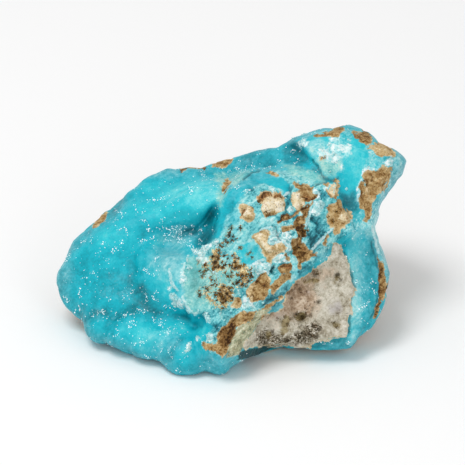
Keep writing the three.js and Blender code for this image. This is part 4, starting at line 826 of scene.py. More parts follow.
# soft patches over the face: across, up, half width, half height, amount
shades = {
    # tone mixes the crust's own uneven tone with painted light and shade: a lighter lit slope,
    # darker pockets, folds and undersides, and lighter patches where the relief falls in shade
    "tone": [(-6.5, 10.5, 8.5, 4.2, 0.26), (-24, -7, 7, 6, -0.1), (-4, 5, 3, 4, -0.08),
        (-12.5, 7, 3.6, 1.4, 0.04), (-12, 1.4, 4.4, 0.9, 0.1), (-12.5, -6, 5, 6, 0.1),
        (-13, -14, 9, 2, -0.08), (-16.4, -10.6, 2.4, 2.6, -0.16), (-8, -14.4, 3.4, 2, 0.16),
        (-7.2, -6, 1.4, 3.4, -0.2), (8, 6, 6, 4, 0.06), (22, 19, 8, 5, 0.14), (26, 15, 3, 6, 0.14),
        (17, 4, 3, 5, -0.14), (24, 9, 3, 2.6, -0.1), (28, 3, 3.4, 3, 0.1),
        (25.3, -11, 1.3, 4, 0.14), (24.5, -10, 0.9, 8, 0.24), (24.6, -17.6, 1.6, 1.4, 0.16),
        (25.4, -4, 3, 5, 0.04), (28, -2, 1.8, 7, -0.2), (33, 16, 1.6, 4, -0.12),
        (3.6, 0, 2.6, 2.4, 0.16), (-6.8, -6.4, 1.2, 2.8, -0.1), (-8.6, -14.6, 3, 1.2, 0.16),
        (-4.2, -15.4, 2.2, 1.4, 0.2), (9, -11.4, 2.6, 1.6, 0.1), (13.6, -6, 2.4, 2, 0.08),
        (-13.4, 4.6, 3, 1.6, 0.12), (-16, 2, 2.4, 1.4, 0.14), (4.4, 12.2, 2.4, 1.8, -0.16),
        (0.6, 9.8, 1.4, 3, -0.16), (18, -19, 6, 1.2, -0.12), (-15, -17, 6, 3, 0.08),
        (-18, -15, 4, 2.6, 0.08), (8, 17, 8, 2, 0.02), (7.6, 17.4, 2, 1.4, -0.14),
        (5, 14.6, 4.5, 1.8, -0.04), (-0.6, 8.6, 1.6, 4, -0.1), (-24.6, 3.2, 2.4, 2.4, 0.12),
        (-17, 13.4, 5, 2.6, 0.04), (14, 19, 3.4, 3, 0.1), (-20, -9, 4, 4, -0.06),
        (30.6, -4, 1.2, 9, 0.12)],
    "milk": [(5, -2.5, 6, 6, 0.35), (9, 6, 5, 3.5, 0.3), (12, 1.5, 3.5, 4, 0.3),
        (20.5, 17, 3.2, 4, 0.45), (16, 20, 2.6, 2.6, 0.5), (21.5, 21, 5, 2.2, 0.35),
        (28.5, 16.5, 4, 2.5, 0.25), (-9, -6.5, 2.6, 5, 0.3), (-10.6, -2.6, 2.2, 5, 0.22),
        (0, -11.2, 5.6, 2.6, 0.4), (-3.6, -15, 1.6, 2, 0.1), (25, 4.6, 4.6, 2.6, 0.5),
        (30.5, -3, 1.6, 8, 0.35), (25.2, -10.6, 1.3, 4.5, 0.5), (-8, -9.6, 2, 2, 0.4),
        (14, 6, 1.6, 3, 0.4), (-3.4, 12, 3.4, 3, 0.3), (12, 15, 5, 2, 0.3), (8, -11.6, 4, 1.4, 0.2),
        (29.4, 6, 2, 5, 0.4)],
    "glint": [(-18, 9, 16, 7, 0.8), (-24, -8, 9, 9, 0.7), (-14, -17, 15, 6, 0.9),
        (-2, 15.5, 10, 3, 0.8), (9, 18.4, 8, 3, 0.8), (27, -8, 5, 11, 0.55), (-12, 1, 9, 6, 0.5),
        (-3, -20, 5, 4, 0.6)],
    "smooth": [(0.5, 8, 2.2, 5, 0.6), (23.5, 14, 2.4, 5, 0.5)],
    "stain": [(13.4, -7.4, 4.6, 4.6, 0.9), (9.6, -11.4, 5, 3.4, 0.7), (15, -11, 2.4, 2.6, 0.6),
        (19, -4.6, 3, 1.4, 0.5)],
    "grey": [(31, -2, 1.6, 7, 0.8), (33, 16, 2.6, 4, 0.6), (29.6, 6.6, 2.4, 4, 0.7),
        (10, -8.8, 3.6, 2.6, 0.9), (4, -12, 4, 3, 0.4), (16, 2, 4, 5, 0.3), (-12, -2, 5, 3, 0.3),
        (-15, 16, 8, 1.6, 0.4), (-33.6, -6, 3, 4, 0.4), (-1, -21, 5, 3, 0.5), (24, -19, 5, 2, 0.5),
        (-26, -18, 5, 2, 0.2), (2, 13.6, 4, 2.4, 0.4), (11, 15.4, 5, 1.6, 0.4),
        (-13, -3, 4, 6, 0.5), (-9, 3, 4.4, 2.4, 0.6), (-10.4, -3, 2, 6, 0.2), (-13, -18, 5, 3, 0.5),
        (25.4, -5, 3, 9, 0.7), (24.6, -11, 1.4, 8, 0.5), (9, -11.4, 2.6, 1.6, 0.7),
        (13.6, -6, 2.6, 2.4, 0.6), (18.6, -0.6, 2.8, 2.4, 0.6), (8, 17.4, 8, 2, 0.15),
        (0, 9, 2, 5, 0.2), (5, 14.6, 5, 2, 0.2), (24, 10, 3, 3, 0.4)],
    "lilac": [(21, -11.6, 2.2, 2, 0.9), (10, -13.6, 2, 1.6, 0.6), (15.4, -8.4, 1.4, 1.2, 0.6),
        (22, -6.4, 2, 1.2, 0.4)],
}

# open lines on the face: cracks between the crystals, soft folds and bright broken edges; the
# cracks and folds are carved, and also darkened as painted shade
faceLines = {
    "crevice": [[(2.6, 14.2), (3.4, 14.8), (4.4, 15.6), (5.8, 16)],
        [(16.4, 18), (17.6, 16.4), (18.8, 14.6), (20.2, 14), (21.6, 14.4)],
        [(17.2, 13.2), (19.2, 13.6)], [(6.8, 7.4), (7.6, 6.8), (9.4, 7.4)],
        [(14.2, 10.6), (15.6, 10), (17, 10.8)], [(12.2, 7), (13.4, 8), (14.8, 8.6)],
        [(4.6, -6.8), (5.6, -6)], [(5, -16.2), (6.4, -14.4), (7.4, -13)],
        [(10.8, 9.2), (11.2, 7.6), (10.4, 6.6)], [(9, 4.6), (9.4, 2.8), (10.2, 1.8)],
        [(11.8, 12.8), (12.2, 10.4), (12.4, 8)],
        [(23, -0.4), (23.6, -2.4), (24.6, -6), (25.2, -7.4), (24.2, -9.6),
         (24, -12.4), (23.8, -16.4)],
        [(6.4, -10.8), (8.2, -9.8), (10.2, -9)],
        [(28.2, 1.6), (29, -1.6), (29.8, -4.4), (29.8, -8.8), (29.2, -11.2), (28, -13.6)],
        [(15.4, 4.8), (16.2, 2), (16, 0)]],
    "fold": [
        [(-18, -7.6), (-17.8, -9.6), (-16.8, -11.4), (-14.8, -12.6), (-12.4, -13.2), (-9.6, -13.6)],
        [(-23.6, -16), (-22.8, -14), (-21, -12.6), (-19, -12)],
        [(-29, -13.4), (-27, -12.8), (-25, -12.4)],
        [(-17, 3), (-14, 4), (-11, 4.4), (-8, 4), (-5.4, 2.6)],
        [(-12, -21.6), (-11.6, -19.6), (-10, -18)], [(-25.6, 5.6), (-23.6, 7.4), (-22, 9.6)]],
    "paleEdge": [[(19.4, 18.4), (18, 19.8)], [(19.6, 18.6), (19.5, 20.2)],
        [(19.8, 18.6), (21, 19.8)], [(19.9, 18.3), (21.8, 18.6)],
        [(26.4, 9), (25.8, 10.8), (25.6, 12.8), (26.2, 14)], [(27, 14), (27.4, 12), (27.2, 9.8)],
        [(16.2, 10), (16, 7.6), (15.2, 4.6)], [(6.2, 4), (8, 4.6), (9.2, 3.6)],
        [(22.2, 6.8), (20.8, 4.8), (18.4, 2.4), (16.4, 0.2)], [(10.8, 10.8), (11.6, 11.4)],
        [(-12, -4), (-11.6, -6), (-10.4, -8)], [(-8.9, -2.6), (-9.4, -4), (-9.5, -5.6)],
        [(-9.3, -9.4), (-8.5, -11.2), (-7.6, -12.2)], [(28.2, 4.4), (29, 2), (29.6, -0.8)],
        [(4, -3.2), (5.2, -2.4), (6.8, -2)]],
}

# dark spots on the face: across, up, radius
spots = {
    "clot": [(-3.4, -1.2, 0.32), (-3, -2.4, 0.36), (-3.2, -3.4, 0.36), (-2.4, -1.6, 0.28),
        (-2.4, -3.2, 0.3), (-1.4, -3.4, 0.32), (-1.6, -2.4, 0.26), (-1.2, -1.2, 0.26),
        (-2.2, -0.6, 0.22), (-1, -2.8, 0.24), (-3.4, -4, 0.2), (0.3, 4.4, 0.28), (2, 4.5, 0.2),
        (0, 3.5, 0.24), (-0.2, 2.8, 0.36), (0.6, 2.6, 0.26), (1.2, 2.2, 0.26), (0.2, 2, 0.3),
        (-1, 1.8, 0.2), (-0.6, 1.4, 0.26), (-1.4, 0.8, 0.24), (-2, 1, 0.2), (-2.2, 0, 0.2),
        (2, 0.4, 0.22), (4.2, -0.4, 0.18), (3.6, -0.8, 0.16), (4.4, -1.4, 0.2), (2.8, -3, 0.2),
        (2, -3, 0.18), (0.6, -1, 0.2), (1.6, -1.6, 0.2), (1, -2.4, 0.24), (0.2, -3.4, 0.28),
        (1.2, -3.4, 0.3), (2, -3.4, 0.26), (0, -2.8, 0.2), (-0.4, -1.6, 0.24), (-0.8, -4.6, 0.22),
        (-0.4, -5.2, 0.26), (0.2, -5.2, 0.22), (0.4, -4.4, 0.16), (1.8, -5, 0.24), (2.4, -5, 0.3),
        (3.2, -5, 0.28), (4.2, -4, 0.26), (4.2, -5, 0.36), (4, -5.6, 0.24), (3.4, -7.2, 0.2),
        (3.6, -6.2, 0.18), (1.4, -4.8, 0.16), (2.4, -6.8, 0.22), (1.8, -6, 0.24), (2.2, -5.6, 0.2),
        (0.8, -6.8, 0.24), (1.4, -6.4, 0.28), (0.4, -7.4, 0.2), (2.6, -7, 0.2), (-2.4, -8.6, 0.2),
        (-2, -7.8, 0.2), (-1.2, -7.2, 0.22), (-1.8, -8.8, 0.32), (-1.4, -9.4, 0.36),
        (-0.6, -8.6, 0.26), (-0.2, -9.2, 0.22), (-0.8, -10, 0.26), (0.2, -8.2, 0.18),
        (0.4, -9.6, 0.26), (-2.8, -8.6, 0.28), (-3, -9.2, 0.3), (-1.6, -10.4, 0.22),
        (-1.4, -11.4, 0.22), (-0.2, -7.6, 0.18), (-2.6, -10, 0.14), (-6, -4, 0.24),
        (-5.4, -4.6, 0.3), (-5.6, -5.2, 0.2), (-4.8, -4, 0.24), (-4.4, -3.8, 0.2), (-5.2, -5, 0.2),
        (-3.4, -4.4, 0.18), (-3.6, -5.4, 0.16), (-3.4, -6, 0.24), (-3, -6, 0.16), (-3.2, -6.8, 0.2),
        (-3.6, -7, 0.18), (-2.8, -7, 0.16), (-6.2, -8.2, 0.18), (-6, -8.8, 0.26), (-6, -9.3, 0.18),
        (-4.8, -7.6, 0.18), (-4.4, -8, 0.14), (-5.2, -3, 0.16), (-4.8, -2.8, 0.16),
        (-6.3, -2.4, 0.14), (6.8, 11.4, 0.2), (7.6, 11.2, 0.16), (5.8, 9.6, 0.28),
        (6.4, 10.6, 0.16), (7, 7.6, 0.14), (7.4, 6.8, 0.16), (12.8, 0.2, 0.34), (13.6, 0.6, 0.4),
        (13.6, -1.4, 0.22), (14.2, 4.2, 0.2), (14.4, 3.6, 0.32), (14.6, 2.9, 0.22),
        (15.2, 3.8, 0.18), (12.6, 4.6, 0.18), (13.5, 5.2, 0.16), (21.2, 7.6, 0.2),
        (19.6, 6.6, 0.18), (20.6, 5.6, 0.22), (20.4, 6, 0.16), (27, 13.8, 0.24), (27.2, 13, 0.2),
        (2.2, 4.2, 0.24)],
    "rockSpot": [(14.4, -13.4, 0.44), (17.6, -10.4, 0.36), (13, -12.8, 0.32), (16.6, -4.2, 0.32),
        (17.4, -4.6, 0.26), (16.8, -15, 0.44), (17.8, -15.6, 0.44), (11.4, -14.8, 0.36),
        (12, -13.6, 0.3), (10.8, -13.2, 0.3), (14, -15.2, 0.32), (15.2, -16.6, 0.36),
        (13.8, -17.4, 0.32), (16.6, -17, 0.34), (21.6, -5, 0.36), (22, -6, 0.24),
        (20.6, -14.4, 0.24), (21.4, -15.2, 0.32), (9.4, -13.6, 0.3), (14, -7.8, 0.22),
        (12.4, -8, 0.22), (8.4, -16.2, 0.36), (7.6, -17.2, 0.32), (7, -18.2, 0.28), (16, -13, 0.28),
        (15.2, -11.6, 0.22), (12.2, -9.6, 0.22), (23, 0.6, 0.24), (10.4, -16.8, 0.24),
        (13.2, -18.8, 0.24), (11.2, -18.2, 0.28), (14.8, -6.2, 0.24), (16.4, -6, 0.22),
        (17.6, -5.8, 0.2)],
}

# how much lighter or darker a brown patch is, and how far it stands out in mm
patchCharacter = {"crownLeft": (-0.1, 0.1), "crownMiddle": (-0.15, 0.1), "crownRight": (0.12, 0.3),
    "endFace": (-0.02, 0.15), "endLeft": (-0.16, 0), "creamKnob": (0.3, 0.9),
    "leftKnob": (0.12, 0.8), "leafBrown": (-0.05, 0.5), "leafCream": (0.25, 0.5),
    "lowDiagonal": (-0.22, 0.2), "stripe": (-0.12, -0.1), "stripeFoot": (-0.35, -0.2),
    "crumb": (0, 0.2), "arrow": (0.2, 0.4), "middle": (-0.16, -0.2), "rightBroken": (0.02, 0.1),
    "roundCrumb": (0.05, 0.35), "lowStrip": (-0.14, 0.1), "olivePlate": (-0.04, 0.3),
    "button": (0.12, 0.4), "lowHook": (-0.1, 0.4), "rightSeam": (-0.18, 0), "vein": (-0.1, 0),
    "topLine": (-0.3, 0), "hookPlate": (-0.22, 0)}


def lineGap(lines, across, up):  # mm to the nearest of some open lines
    nearest = np.full(across.shape, 1e9)
    for points in lines:
        for start, end in zip(points, points[1:]):
            nearest = np.minimum(nearest, segmentGap(start, end, across, up))
    return np.sqrt(nearest)


def markingDepth(kind, across, up):  # mm inside the nearest outline of that kind, negative outside
    distances = [outlineDistance(points, across, up) for points in markings[kind].values()]
    return np.clip(-np.min(distances, axis=0), -3, 3)


def patchShifts(across, up):  # lighter or darker, and mm out, where each brown patch lies
    tone, lift = np.zeros(across.shape), np.zeros(across.shape)
    for name, (lighter, raised) in patchCharacter.items():
        inside = -outlineDistance(markings["limonite"][name], across, up)
        tone += lighter * ease(inside, -0.7, 0.1)
        lift += raised * ease(inside, -0.35, 1.1)
    return tone, lift


def shadeAmount(kind, across, up):
    return sum(amount * softPatch(across, up, *patch) for *patch, amount in shades[kind])


# how the display face gives way to the back: where each thing begins and is full, in mm in front
# of the seam round the rim, or as how far the surface looks out of the face
faceFade = {
    "frontSeam": (-2.5, 1.5),
    "frontFacing": (-0.35, 0.05),
    "wrapSeam": (-5, -3),        # as far round the rim as outlines reach
    "wrapFacing": (-0.6, -0.2),
    "backSeam": (-7, -3),
    "steepFacing": (-0.2, 0.04),
    "steepWander": 4.5,          # mm that outlines wander where the stone turns away from the face
    "slopingFacing": (0.1, 0.4),
    "slopingWander": 1.4,        # mm more where it slopes
    "wanderSize": 2.8,           # mm
    "lineShare": 0.4,            # how much of that wander the lines take
    # painted shade and sheen along the outline: the crust is darker and greyer where it turns away
    # from the face
    "rimShade": (0.1, 2),         # how much darker the rim is, and how wide in mm
    "rimSheen": (0.35, 2.5),
    # painted shade in the soft folds
    "foldShade": 0.13,
    # hollows within this reach get painted shade in the crust's colour
    "hollowShadeReach": 1.4,          # mm out from the surface at which a hollow is felt
}

stoneRelief = {
    "crustGrain": 0.09,      # mm, rounded grains on the blue crust
    "ridgeChips": 0.6,       # mm, sharp chips on the broken ridge
    "headChips": 0.3,        # mm, the same on the smoother head
    "rockGrain": 0.35,       # mm, on the bare rock face
    "limoniteGrain": 0.26,   # mm, on the brown patches
    "headCalm": 0.6,         # share of that grain that the head lacks
    "limoniteStep": 0.25,    # mm that brown patches lie below the crystals round them
    "backGrain": 0.5,        # mm, on the rough back
    "whiteCrystals": 0.25,   # mm, on the white crystal patches
    "mottleGrain": 0.5,      # mm, on the mottled foot of the rock
    "deepStep": 0.35,        # mm that the dark teal ground lies lower
    "creviceDepth": 0.4,     # mm
    "edgeHeight": 0.2,       # mm, bright broken edges
    "lineWidth": 0.3,        # mm, half width of a crack or an edge
    "foldWidth": 1.0,        # mm, half width of a soft fold between two swells
    "foldDepth": 0.25,       # mm
    "grainSizes": (2.3, 0.95),  # mm, large and fine
    "chipSizes": (2.2, 1.1),
    "roughSizes": (1.3, 0.65),
    "crumbSize": 1.0,
    # across, up, radius, depth
    "pits": [
        (21.6, -5.2, 0.9, 0.7), (17.9, -10.2, 0.5, 0.7), (14.5, -13.3, 0.7, 0.8),
        (13.2, -12.8, 0.5, 0.5), (21.4, -14.8, 1, 0.5), (17.4, -16, 0.7, 0.6),
        (17.2, -4.6, 0.6, 0.4), (8.6, -4, 1, 1.1),
    ],
}


def ragged(place, kind):  # mm that an outline wanders by
    return 0.5 * (softNoise(place, 1.6, kind) - 0.5) + 0.6 * (softNoise(place, 0.7, kind + 3) - 0.5)


def groundMasks(points, normals):  # how much of each kind of ground there is at each point
    place = toFace(*points.T)
    across, up = place[:2]
    seam = fromSeam(place)
    lean = math.radians(stoneForm["faceLean"])
    facing = normals[:, 2] * math.sin(lean) - normals[:, 1] * math.cos(lean)
    ahead = ease(seam, *faceFade["frontSeam"])
    front = ahead * ease(facing, *faceFade["frontFacing"])
    wrapped = ease(seam, *faceFade["wrapSeam"]) * ease(facing, *faceFade["wrapFacing"])

    # outlines wander, and more so where the stone turns away
    seen = np.maximum(front, wrapped) > 0.01
    seenPlace = [value[seen] for value in place]
    steep = faceFade["steepWander"] * (1 - ease(facing[seen], *faceFade["steepFacing"]))
    steep = steep + faceFade["slopingWander"] * (1 - ease(facing[seen], *faceFade["slopingFacing"]))
    size, share = faceFade["wanderSize"], faceFade["lineShare"]
    seenAcross, seenUp = (
        value[seen] + ragged(seenPlace, near) + steep * (softNoise(seenPlace, size, far) - 0.5)
        for value, near, far in ((across, 71, 103), (up, 83, 107))
    )
    lineAcross = seenAcross * share + across[seen] * (1 - share)
    lineUp = seenUp * share + up[seen] * (1 - share)

    masks = {"front": front}
    for kind in markings:
        depth = np.full(len(points), -3.0)
        depth[seen] = markingDepth(kind, seenAcross, seenUp)
        masks[kind] = depth * wrapped - 3 * (1 - wrapped)
    for kind in shades:
        masks[kind] = shadeAmount(kind, across, up) * (ahead if kind == "tone" else front)
    for kind, lines in faceLines.items():
        width = stoneRelief["foldWidth" if kind == "fold" else "lineWidth"]
        gap = lineGap(lines, lineAcross, lineUp)
        masks[kind] = np.zeros(len(points))
        masks[kind][seen] = np.exp(-((gap / width) ** 2)) * front[seen]
    for kind, rows in spots.items():
        gaps = [np.hypot(across[seen] - x, up[seen] - y) - radius for x, y, radius in rows]
        masks[kind] = np.full(len(points), -3.0)
        masks[kind][seen] = np.maximum(-np.min(gaps, axis=0), -3)
    for name, shift in zip(("patchTone", "patchLift"), patchShifts(seenAcross, seenUp)):
        masks[name] = np.zeros(len(points))
        masks[name][seen] = shift

    # the forms of the stone, and how close its neighbouring parts crowd in
    insideRidge, insideHead = (-outlineMaps[name].at(across, up) for name in ("ridge", "head"))
    masks["smooth"] = np.clip(np.maximum(masks["smooth"], ease(masks["clear"], -0.4, 0.3)), 0, 1)
    insideEither = ease(np.maximum(insideRidge, insideHead), -0.2, 1.0)
    masks["ridge"] = insideEither * front * (1 - masks["smooth"])
    masks["head"] = ease(insideHead, -0.5, 1.5) * front
    masks["back"] = (1 - ease(seam, *faceFade["backSeam"])) * (1 - front)
    rim = outlineMaps["outline"].at(across, up)
    darker, shadeWidth = faceFade["rimShade"]
    sheenAmount, sheenWidth = faceFade["rimSheen"]
    # painted shade: darker along the outline and in the folds; painted sheen: greyer along the
    # outline
    masks["tone"] -= (
        darker * np.exp(-((rim / shadeWidth) ** 2)) * (1 - masks["ridge"])
        + faceFade["foldShade"] * masks["fold"]
    )
    masks["grey"] += sheenAmount * np.exp(-((rim / sheenWidth) ** 2)) * ahead
    # how enclosed each point is, used to paint shade into the hollows
    reach = faceFade["hollowShadeReach"]
    clearance = stoneDistances(*(points + normals * reach).T)
    masks["hollow"] = np.clip((reach - clearance) / reach, 0, 1)
    return masks


def carve(points, normals, masks):  # fine relief along the normals
    relief = stoneRelief
    place = points.T.copy()
    across, up, out = toFace(*place)
    rock, back, ridge = ease(masks["rock"], -0.2, 0.3), masks["back"], masks["ridge"]
    limonite, head = ease(masks["limonite"], -0.15, 0.2), masks["head"]
    crust = (1 - ridge) * (1 - rock) * (1 - back)

    grains, fineGrains = (
        0.5 - knobDistance(place, size, kind) ** 2
        for size, kind in zip(relief["grainSizes"], (31, 37))
    )
    largeChip, smallChip = relief["chipSizes"]
    chips = chunkHeight(across, up, largeChip, 41)
    chips = chips + 0.45 * chunkHeight(across + out, up, smallChip, 47)
    chips = (chips + 0.35) * (0.4 + 0.6 * ease(softNoise(place, 4, 53), 0.25, 0.6))
    largeRough, smallRough = relief["roughSizes"]
    rough = softNoise(place, largeRough, 61) + 0.7 * softNoise(place, smallRough, 67) - 0.85
    crumbs = chunkHeight(across - out, up, relief["crumbSize"], 43) + 0.8 * rough

    chipSize = relief["ridgeChips"] * (1 - head) + relief["headChips"] * head
    brownGrain = relief["limoniteGrain"] * (1 - relief["headCalm"] * head) * crumbs
    lift = crust * relief["crustGrain"] * (grains + 0.4 * fineGrains)
    lift += (1 - limonite) * ridge * chipSize * (chips - 0.25)
    lift += limonite * (brownGrain + masks["patchLift"] - relief["limoniteStep"])
    lift += ease(masks["white"], -0.2, 0.4) * relief["whiteCrystals"] * (crumbs + 0.7)
    lift -= ease(masks["deep"], -0.1, 0.9) * relief["deepStep"] * (1 - rock)
    lift -= masks["crevice"] * relief["creviceDepth"] + masks["fold"] * relief["foldDepth"]
    lift += masks["paleEdge"] * relief["edgeHeight"]
    lift += rock * relief["rockGrain"] * rough
    lift += ease(masks["mottle"], -0.2, 0.3) * relief["mottleGrain"] * crumbs
    lift += back * relief["backGrain"] * (rough + 0.4 * grains)
    for pitAcross, pitUp, radius, depth in relief["pits"]:
        gap = np.hypot(across - pitAcross, up - pitUp) / radius
        lift -= masks["front"] * depth * (1 - ease(gap, 0.35, 1.15))
    # where the fine relief lies low; the colours darken there as painted shade
    masks["low"] = np.clip(
        crust * (0.2 - 0.5 * grains) + (1 - limonite) * ridge * (0.35 - chips)
        + limonite * (0.25 - crumbs) + (rock + back) * (0.2 - rough), 0, 1,
    )
    lift *= ease(points[:, 2], 0.05, 0.6)  # none on the foot
    return points + normals * lift[:, None]


def meshPiece(name, points, faces, attributes=None):
    mesh = bpy.data.meshes.new(name)
    corners = faces.shape[1]
    mesh.vertices.add(len(points))
    mesh.vertices.foreach_set("co", (points * mm).astype(np.float32).ravel())
    mesh.loops.add(faces.size)
    mesh.loops.foreach_set("vertex_index", faces.astype(np.int32).ravel())
    mesh.polygons.add(len(faces))
    mesh.polygons.foreach_set("loop_start", np.arange(0, faces.size, corners, dtype=np.int32))
    mesh.update(calc_edges=True)
    for label, values in (attributes or {}).items():
        layer = mesh.attributes.new(label, "FLOAT", "POINT")
        layer.data.foreach_set("value", values.astype(np.float32))
    piece = bpy.data.objects.new(name, mesh)
    bpy.context.scene.collection.objects.link(piece)
    return piece


class Wire:  # one socket that can be added, multiplied and so on
    def __init__(self, bench, socket):
        self.bench, self.socket = bench, socket

    def __add__(self, other):
        return self.bench.math("ADD", self, other)

    def __sub__(self, other):
        return self.bench.math("SUBTRACT", self, other)

    def __rsub__(self, other):
        return self.bench.math("SUBTRACT", other, self)

    def __mul__(self, other):
        return self.bench.math("MULTIPLY", self, other)

    __radd__ = __add__
    __rmul__ = __mul__


class Bench:  # builds the nodes of one material
    def __init__(self, name):
        self.material = bpy.data.materials.new(name)
        self.material.use_nodes = True
        self.nodes = self.material.node_tree.nodes
        self.links = self.material.node_tree.links
        self.nodes.clear()

    def node(self, kind, settings=None, sockets=None, output=0):
        made = self.nodes.new(kind)
        for key, value in (settings or {}).items():
            if key == "stops":
                elements = made.color_ramp.elements
                while len(elements) > 1:
                    elements.remove(elements[-1])
                for position, colour in value:
                    element = elements[0] if position == value[0][0] else elements.new(position)
                    element.position = position
                    element.color = colour
            else:
                setattr(made, key, value)
        for key, value in (sockets or {}).items():
            if isinstance(value, Wire):
                self.links.new(value.socket, made.inputs[key])
            else:
                made.inputs[key].default_value = value
        return Wire(self, made.outputs[output]) if made.outputs else None

    def math(self, operation, first, second):
        return self.node("ShaderNodeMath", {"operation": operation}, {0: first, 1: second})

    def larger(self, first, *others):
        for other in others:
            first = self.math("MAXIMUM", first, other)
        return first

    def mask(self, name):
        return self.node("ShaderNodeAttribute", {"attribute_name": name}, output="Fac")

    def step(self, value, low, high):
        return self.node(
            "ShaderNodeMapRange", {"interpolation_type": "SMOOTHSTEP"},
            {"Value": value, "From Min": low, "From Max": high},
        )

    def ramp(self, factor, stops):
        stops = [(position, paint(colour)) for position, colour in stops]
        return self.node("ShaderNodeValToRGB", {"stops": stops}, {"Fac": factor})

    def over(self, under, amount, name, tone=None):  # lays one of the stone's paints over another
        top = paint(stonePaint[name]) if tone is None else self.ramp(tone, stonePaint[name])
        return self.mix(amount, under, top)

    def mix(self, factor, first, second):
        sockets = {0: factor, 6: first, 7: second}
        return self.node("ShaderNodeMix", {"data_type": "RGBA"}, sockets, 2)

    def noise(self, place, size, detail, rough=0.55):
        return self.node(
            "ShaderNodeTexNoise", None,
            {"Vector": place, "Scale": 1 / size, "Detail": detail, "Roughness": rough},
        )

    def grains(self, place, size, output="Distance"):
        return self.node("ShaderNodeTexVoronoi", None, {"Vector": place, "Scale": 1 / size}, output)

    def facets(self, place, size):  # one even value for each grain
        return self.node("ShaderNodeSeparateColor", None, {0: self.grains(place, size, "Color")})

    def bump(self, height, strength, depth, under=None):
        sockets = {"Strength": strength, "Distance": depth * mm, "Height": height}
        if under:
            sockets["Normal"] = under
        return self.node("ShaderNodeBump", None, sockets)

    def millimetres(self):
        place = self.node("ShaderNodeTexCoord", output="Object")
        sockets = {0: place, "Scale": 1 / mm}
        return self.node("ShaderNodeVectorMath", {"operation": "SCALE"}, sockets)

    def finish(self, shader):
        self.node("ShaderNodeOutputMaterial", None, {"Surface": shader})
        return self.material


def paint(code):  # linear colour from a web colour
    def channel(start):
        value = int(code[start:start + 2], 16) / 255
        return value / 12.92 if value <= 0.04045 else ((value + 0.055) / 1.055) ** 2.4
    return (channel(1), channel(3), channel(5), 1.0)


# stops of a colour ramp, or one colour
stonePaint = {
    "blue": [(0.0, "#034a54"), (0.22, "#077d8b"), (0.45, "#0ab5c6"), (0.62, "#2bc8d4"),
        (0.8, "#73dfe3"), (1.0, "#c0f2ee")],
    "ridge": [(0.0, "#0a4f5a"), (0.25, "#2f93a0"), (0.5, "#74cdd2"), (0.75, "#a9e2e1"),
        (1.0, "#e6f8f4")],
    "grey": [(0.0, "#3a7f8a"), (0.5, "#7fbdc4"), (1.0, "#cfe6e4")],
    "white": [(0.0, "#8fd3d8"), (0.45, "#cdf0ee"), (1.0, "#ffffff")],
    "milk": [(0.0, "#5fc3cc"), (0.4, "#98dde0"), (0.75, "#c6eeec"), (1.0, "#f0faf7")],
    "green": [(0.0, "#5ba9a2"), (0.45, "#90cfc5"), (0.8, "#c0e4d4"), (1.0, "#ebe8c8")],
    "limonite": [(0.0, "#3a220b"), (0.25, "#825e30"), (0.5, "#b49461"), (0.75, "#d0b787"),
        (1.0, "#eddfbe")],
    "cream": [(0.0, "#9c7a4c"), (0.35, "#d6ba88"), (0.7, "#ecdcb8"), (1.0, "#f8f2e2")],
    "rust": [(0.0, "#4a2a12"), (0.4, "#9c6e40"), (0.7, "#cc9f66"), (1.0, "#f2deb4")],
    "rock": [(0.0, "#6f6655"), (0.3, "#aaa28e"), (0.6, "#cdc8b8"), (1.0, "#eae6da")],
    "rockStain": [(0.0, "#5f4630"), (0.3, "#94785c"), (0.55, "#b9a188"), (0.8, "#cfbba3"),
        (1.0, "#e6d8c4")],
    "lilac": "#b3adb0",
    "sage": [(0.0, "#5f6248"), (0.3, "#96906a"), (0.55, "#bbb38c"), (0.8, "#d4ceb0"),
        (1.0, "#eeead6")],
    "olive": [(0.0, "#3d3218"), (0.45, "#86754a"), (1.0, "#b9ab80")],
    "mottle": [(0.0, "#2e2618"), (0.35, "#6e6450"), (0.6, "#a9a08c"), (1.0, "#ebe7db")],
    "spot": [(0.0, "#140f05"), (0.4, "#33250b"), (0.65, "#654714"), (0.85, "#a8752e"),
        (1.0, "#e2b872")],
    "back": [(0.0, "#32240f"), (0.3, "#6a5434"), (0.5, "#8d7650"), (0.75, "#ab9a7c"),
        (1.0, "#d6ccb6")],
    "pit": "#3d220d",
    # the dark teal of the painted shade in the cracks
    "crevice": "#14525c",
    "halo": "#8b8f4c",
    "amber": [(0.0, "#57380e"), (0.3, "#9c6e2c"), (0.6, "#d2aa62"), (1.0, "#f4e6b4")],
    # colours of the painted shadow
    "ink": [(0.0, "#00242a"), (0.6, "#02474c"), (1.0, "#0e646a")],
}

# how far the edge of each patch wanders, and the depths in mm where it begins and is full
edgeFade = {
    "deep": (1.3, -0.8, 0.8), "green": (1.4, -0.7, 0.6), "rusty": (1, -0.2, 0.2),
    "spotted": (1, -0.3, 0.3), "mottle": (1.6, -0.5, 0.4), "olive": (1.4, -0.2, 0.3),
    "ink": (0.8, -0.2, 0.15), "sage": (1.2, -0.3, 0.3),
}
# mm across the speckles and patches of each pattern
patternSizes = {
    "broad": 5.0, "medium": 1.5, "streak": 0.55, "shard": 0.5, "fine": 0.45, "grit": 0.3,
    "crumb": 0.26, "crystal": 0.55, "seams": 0.8, "rim": 1.2, "freckles": 0.9, "pits": 0.3,
    "smallClots": 0.6, "halo": 1.1, "crumbs": 0.45, "specks": 0.55,
    "back": 6.0, "backGrey": 6.6, "backOchre": 4.2, "backCrust": 2.9,
}


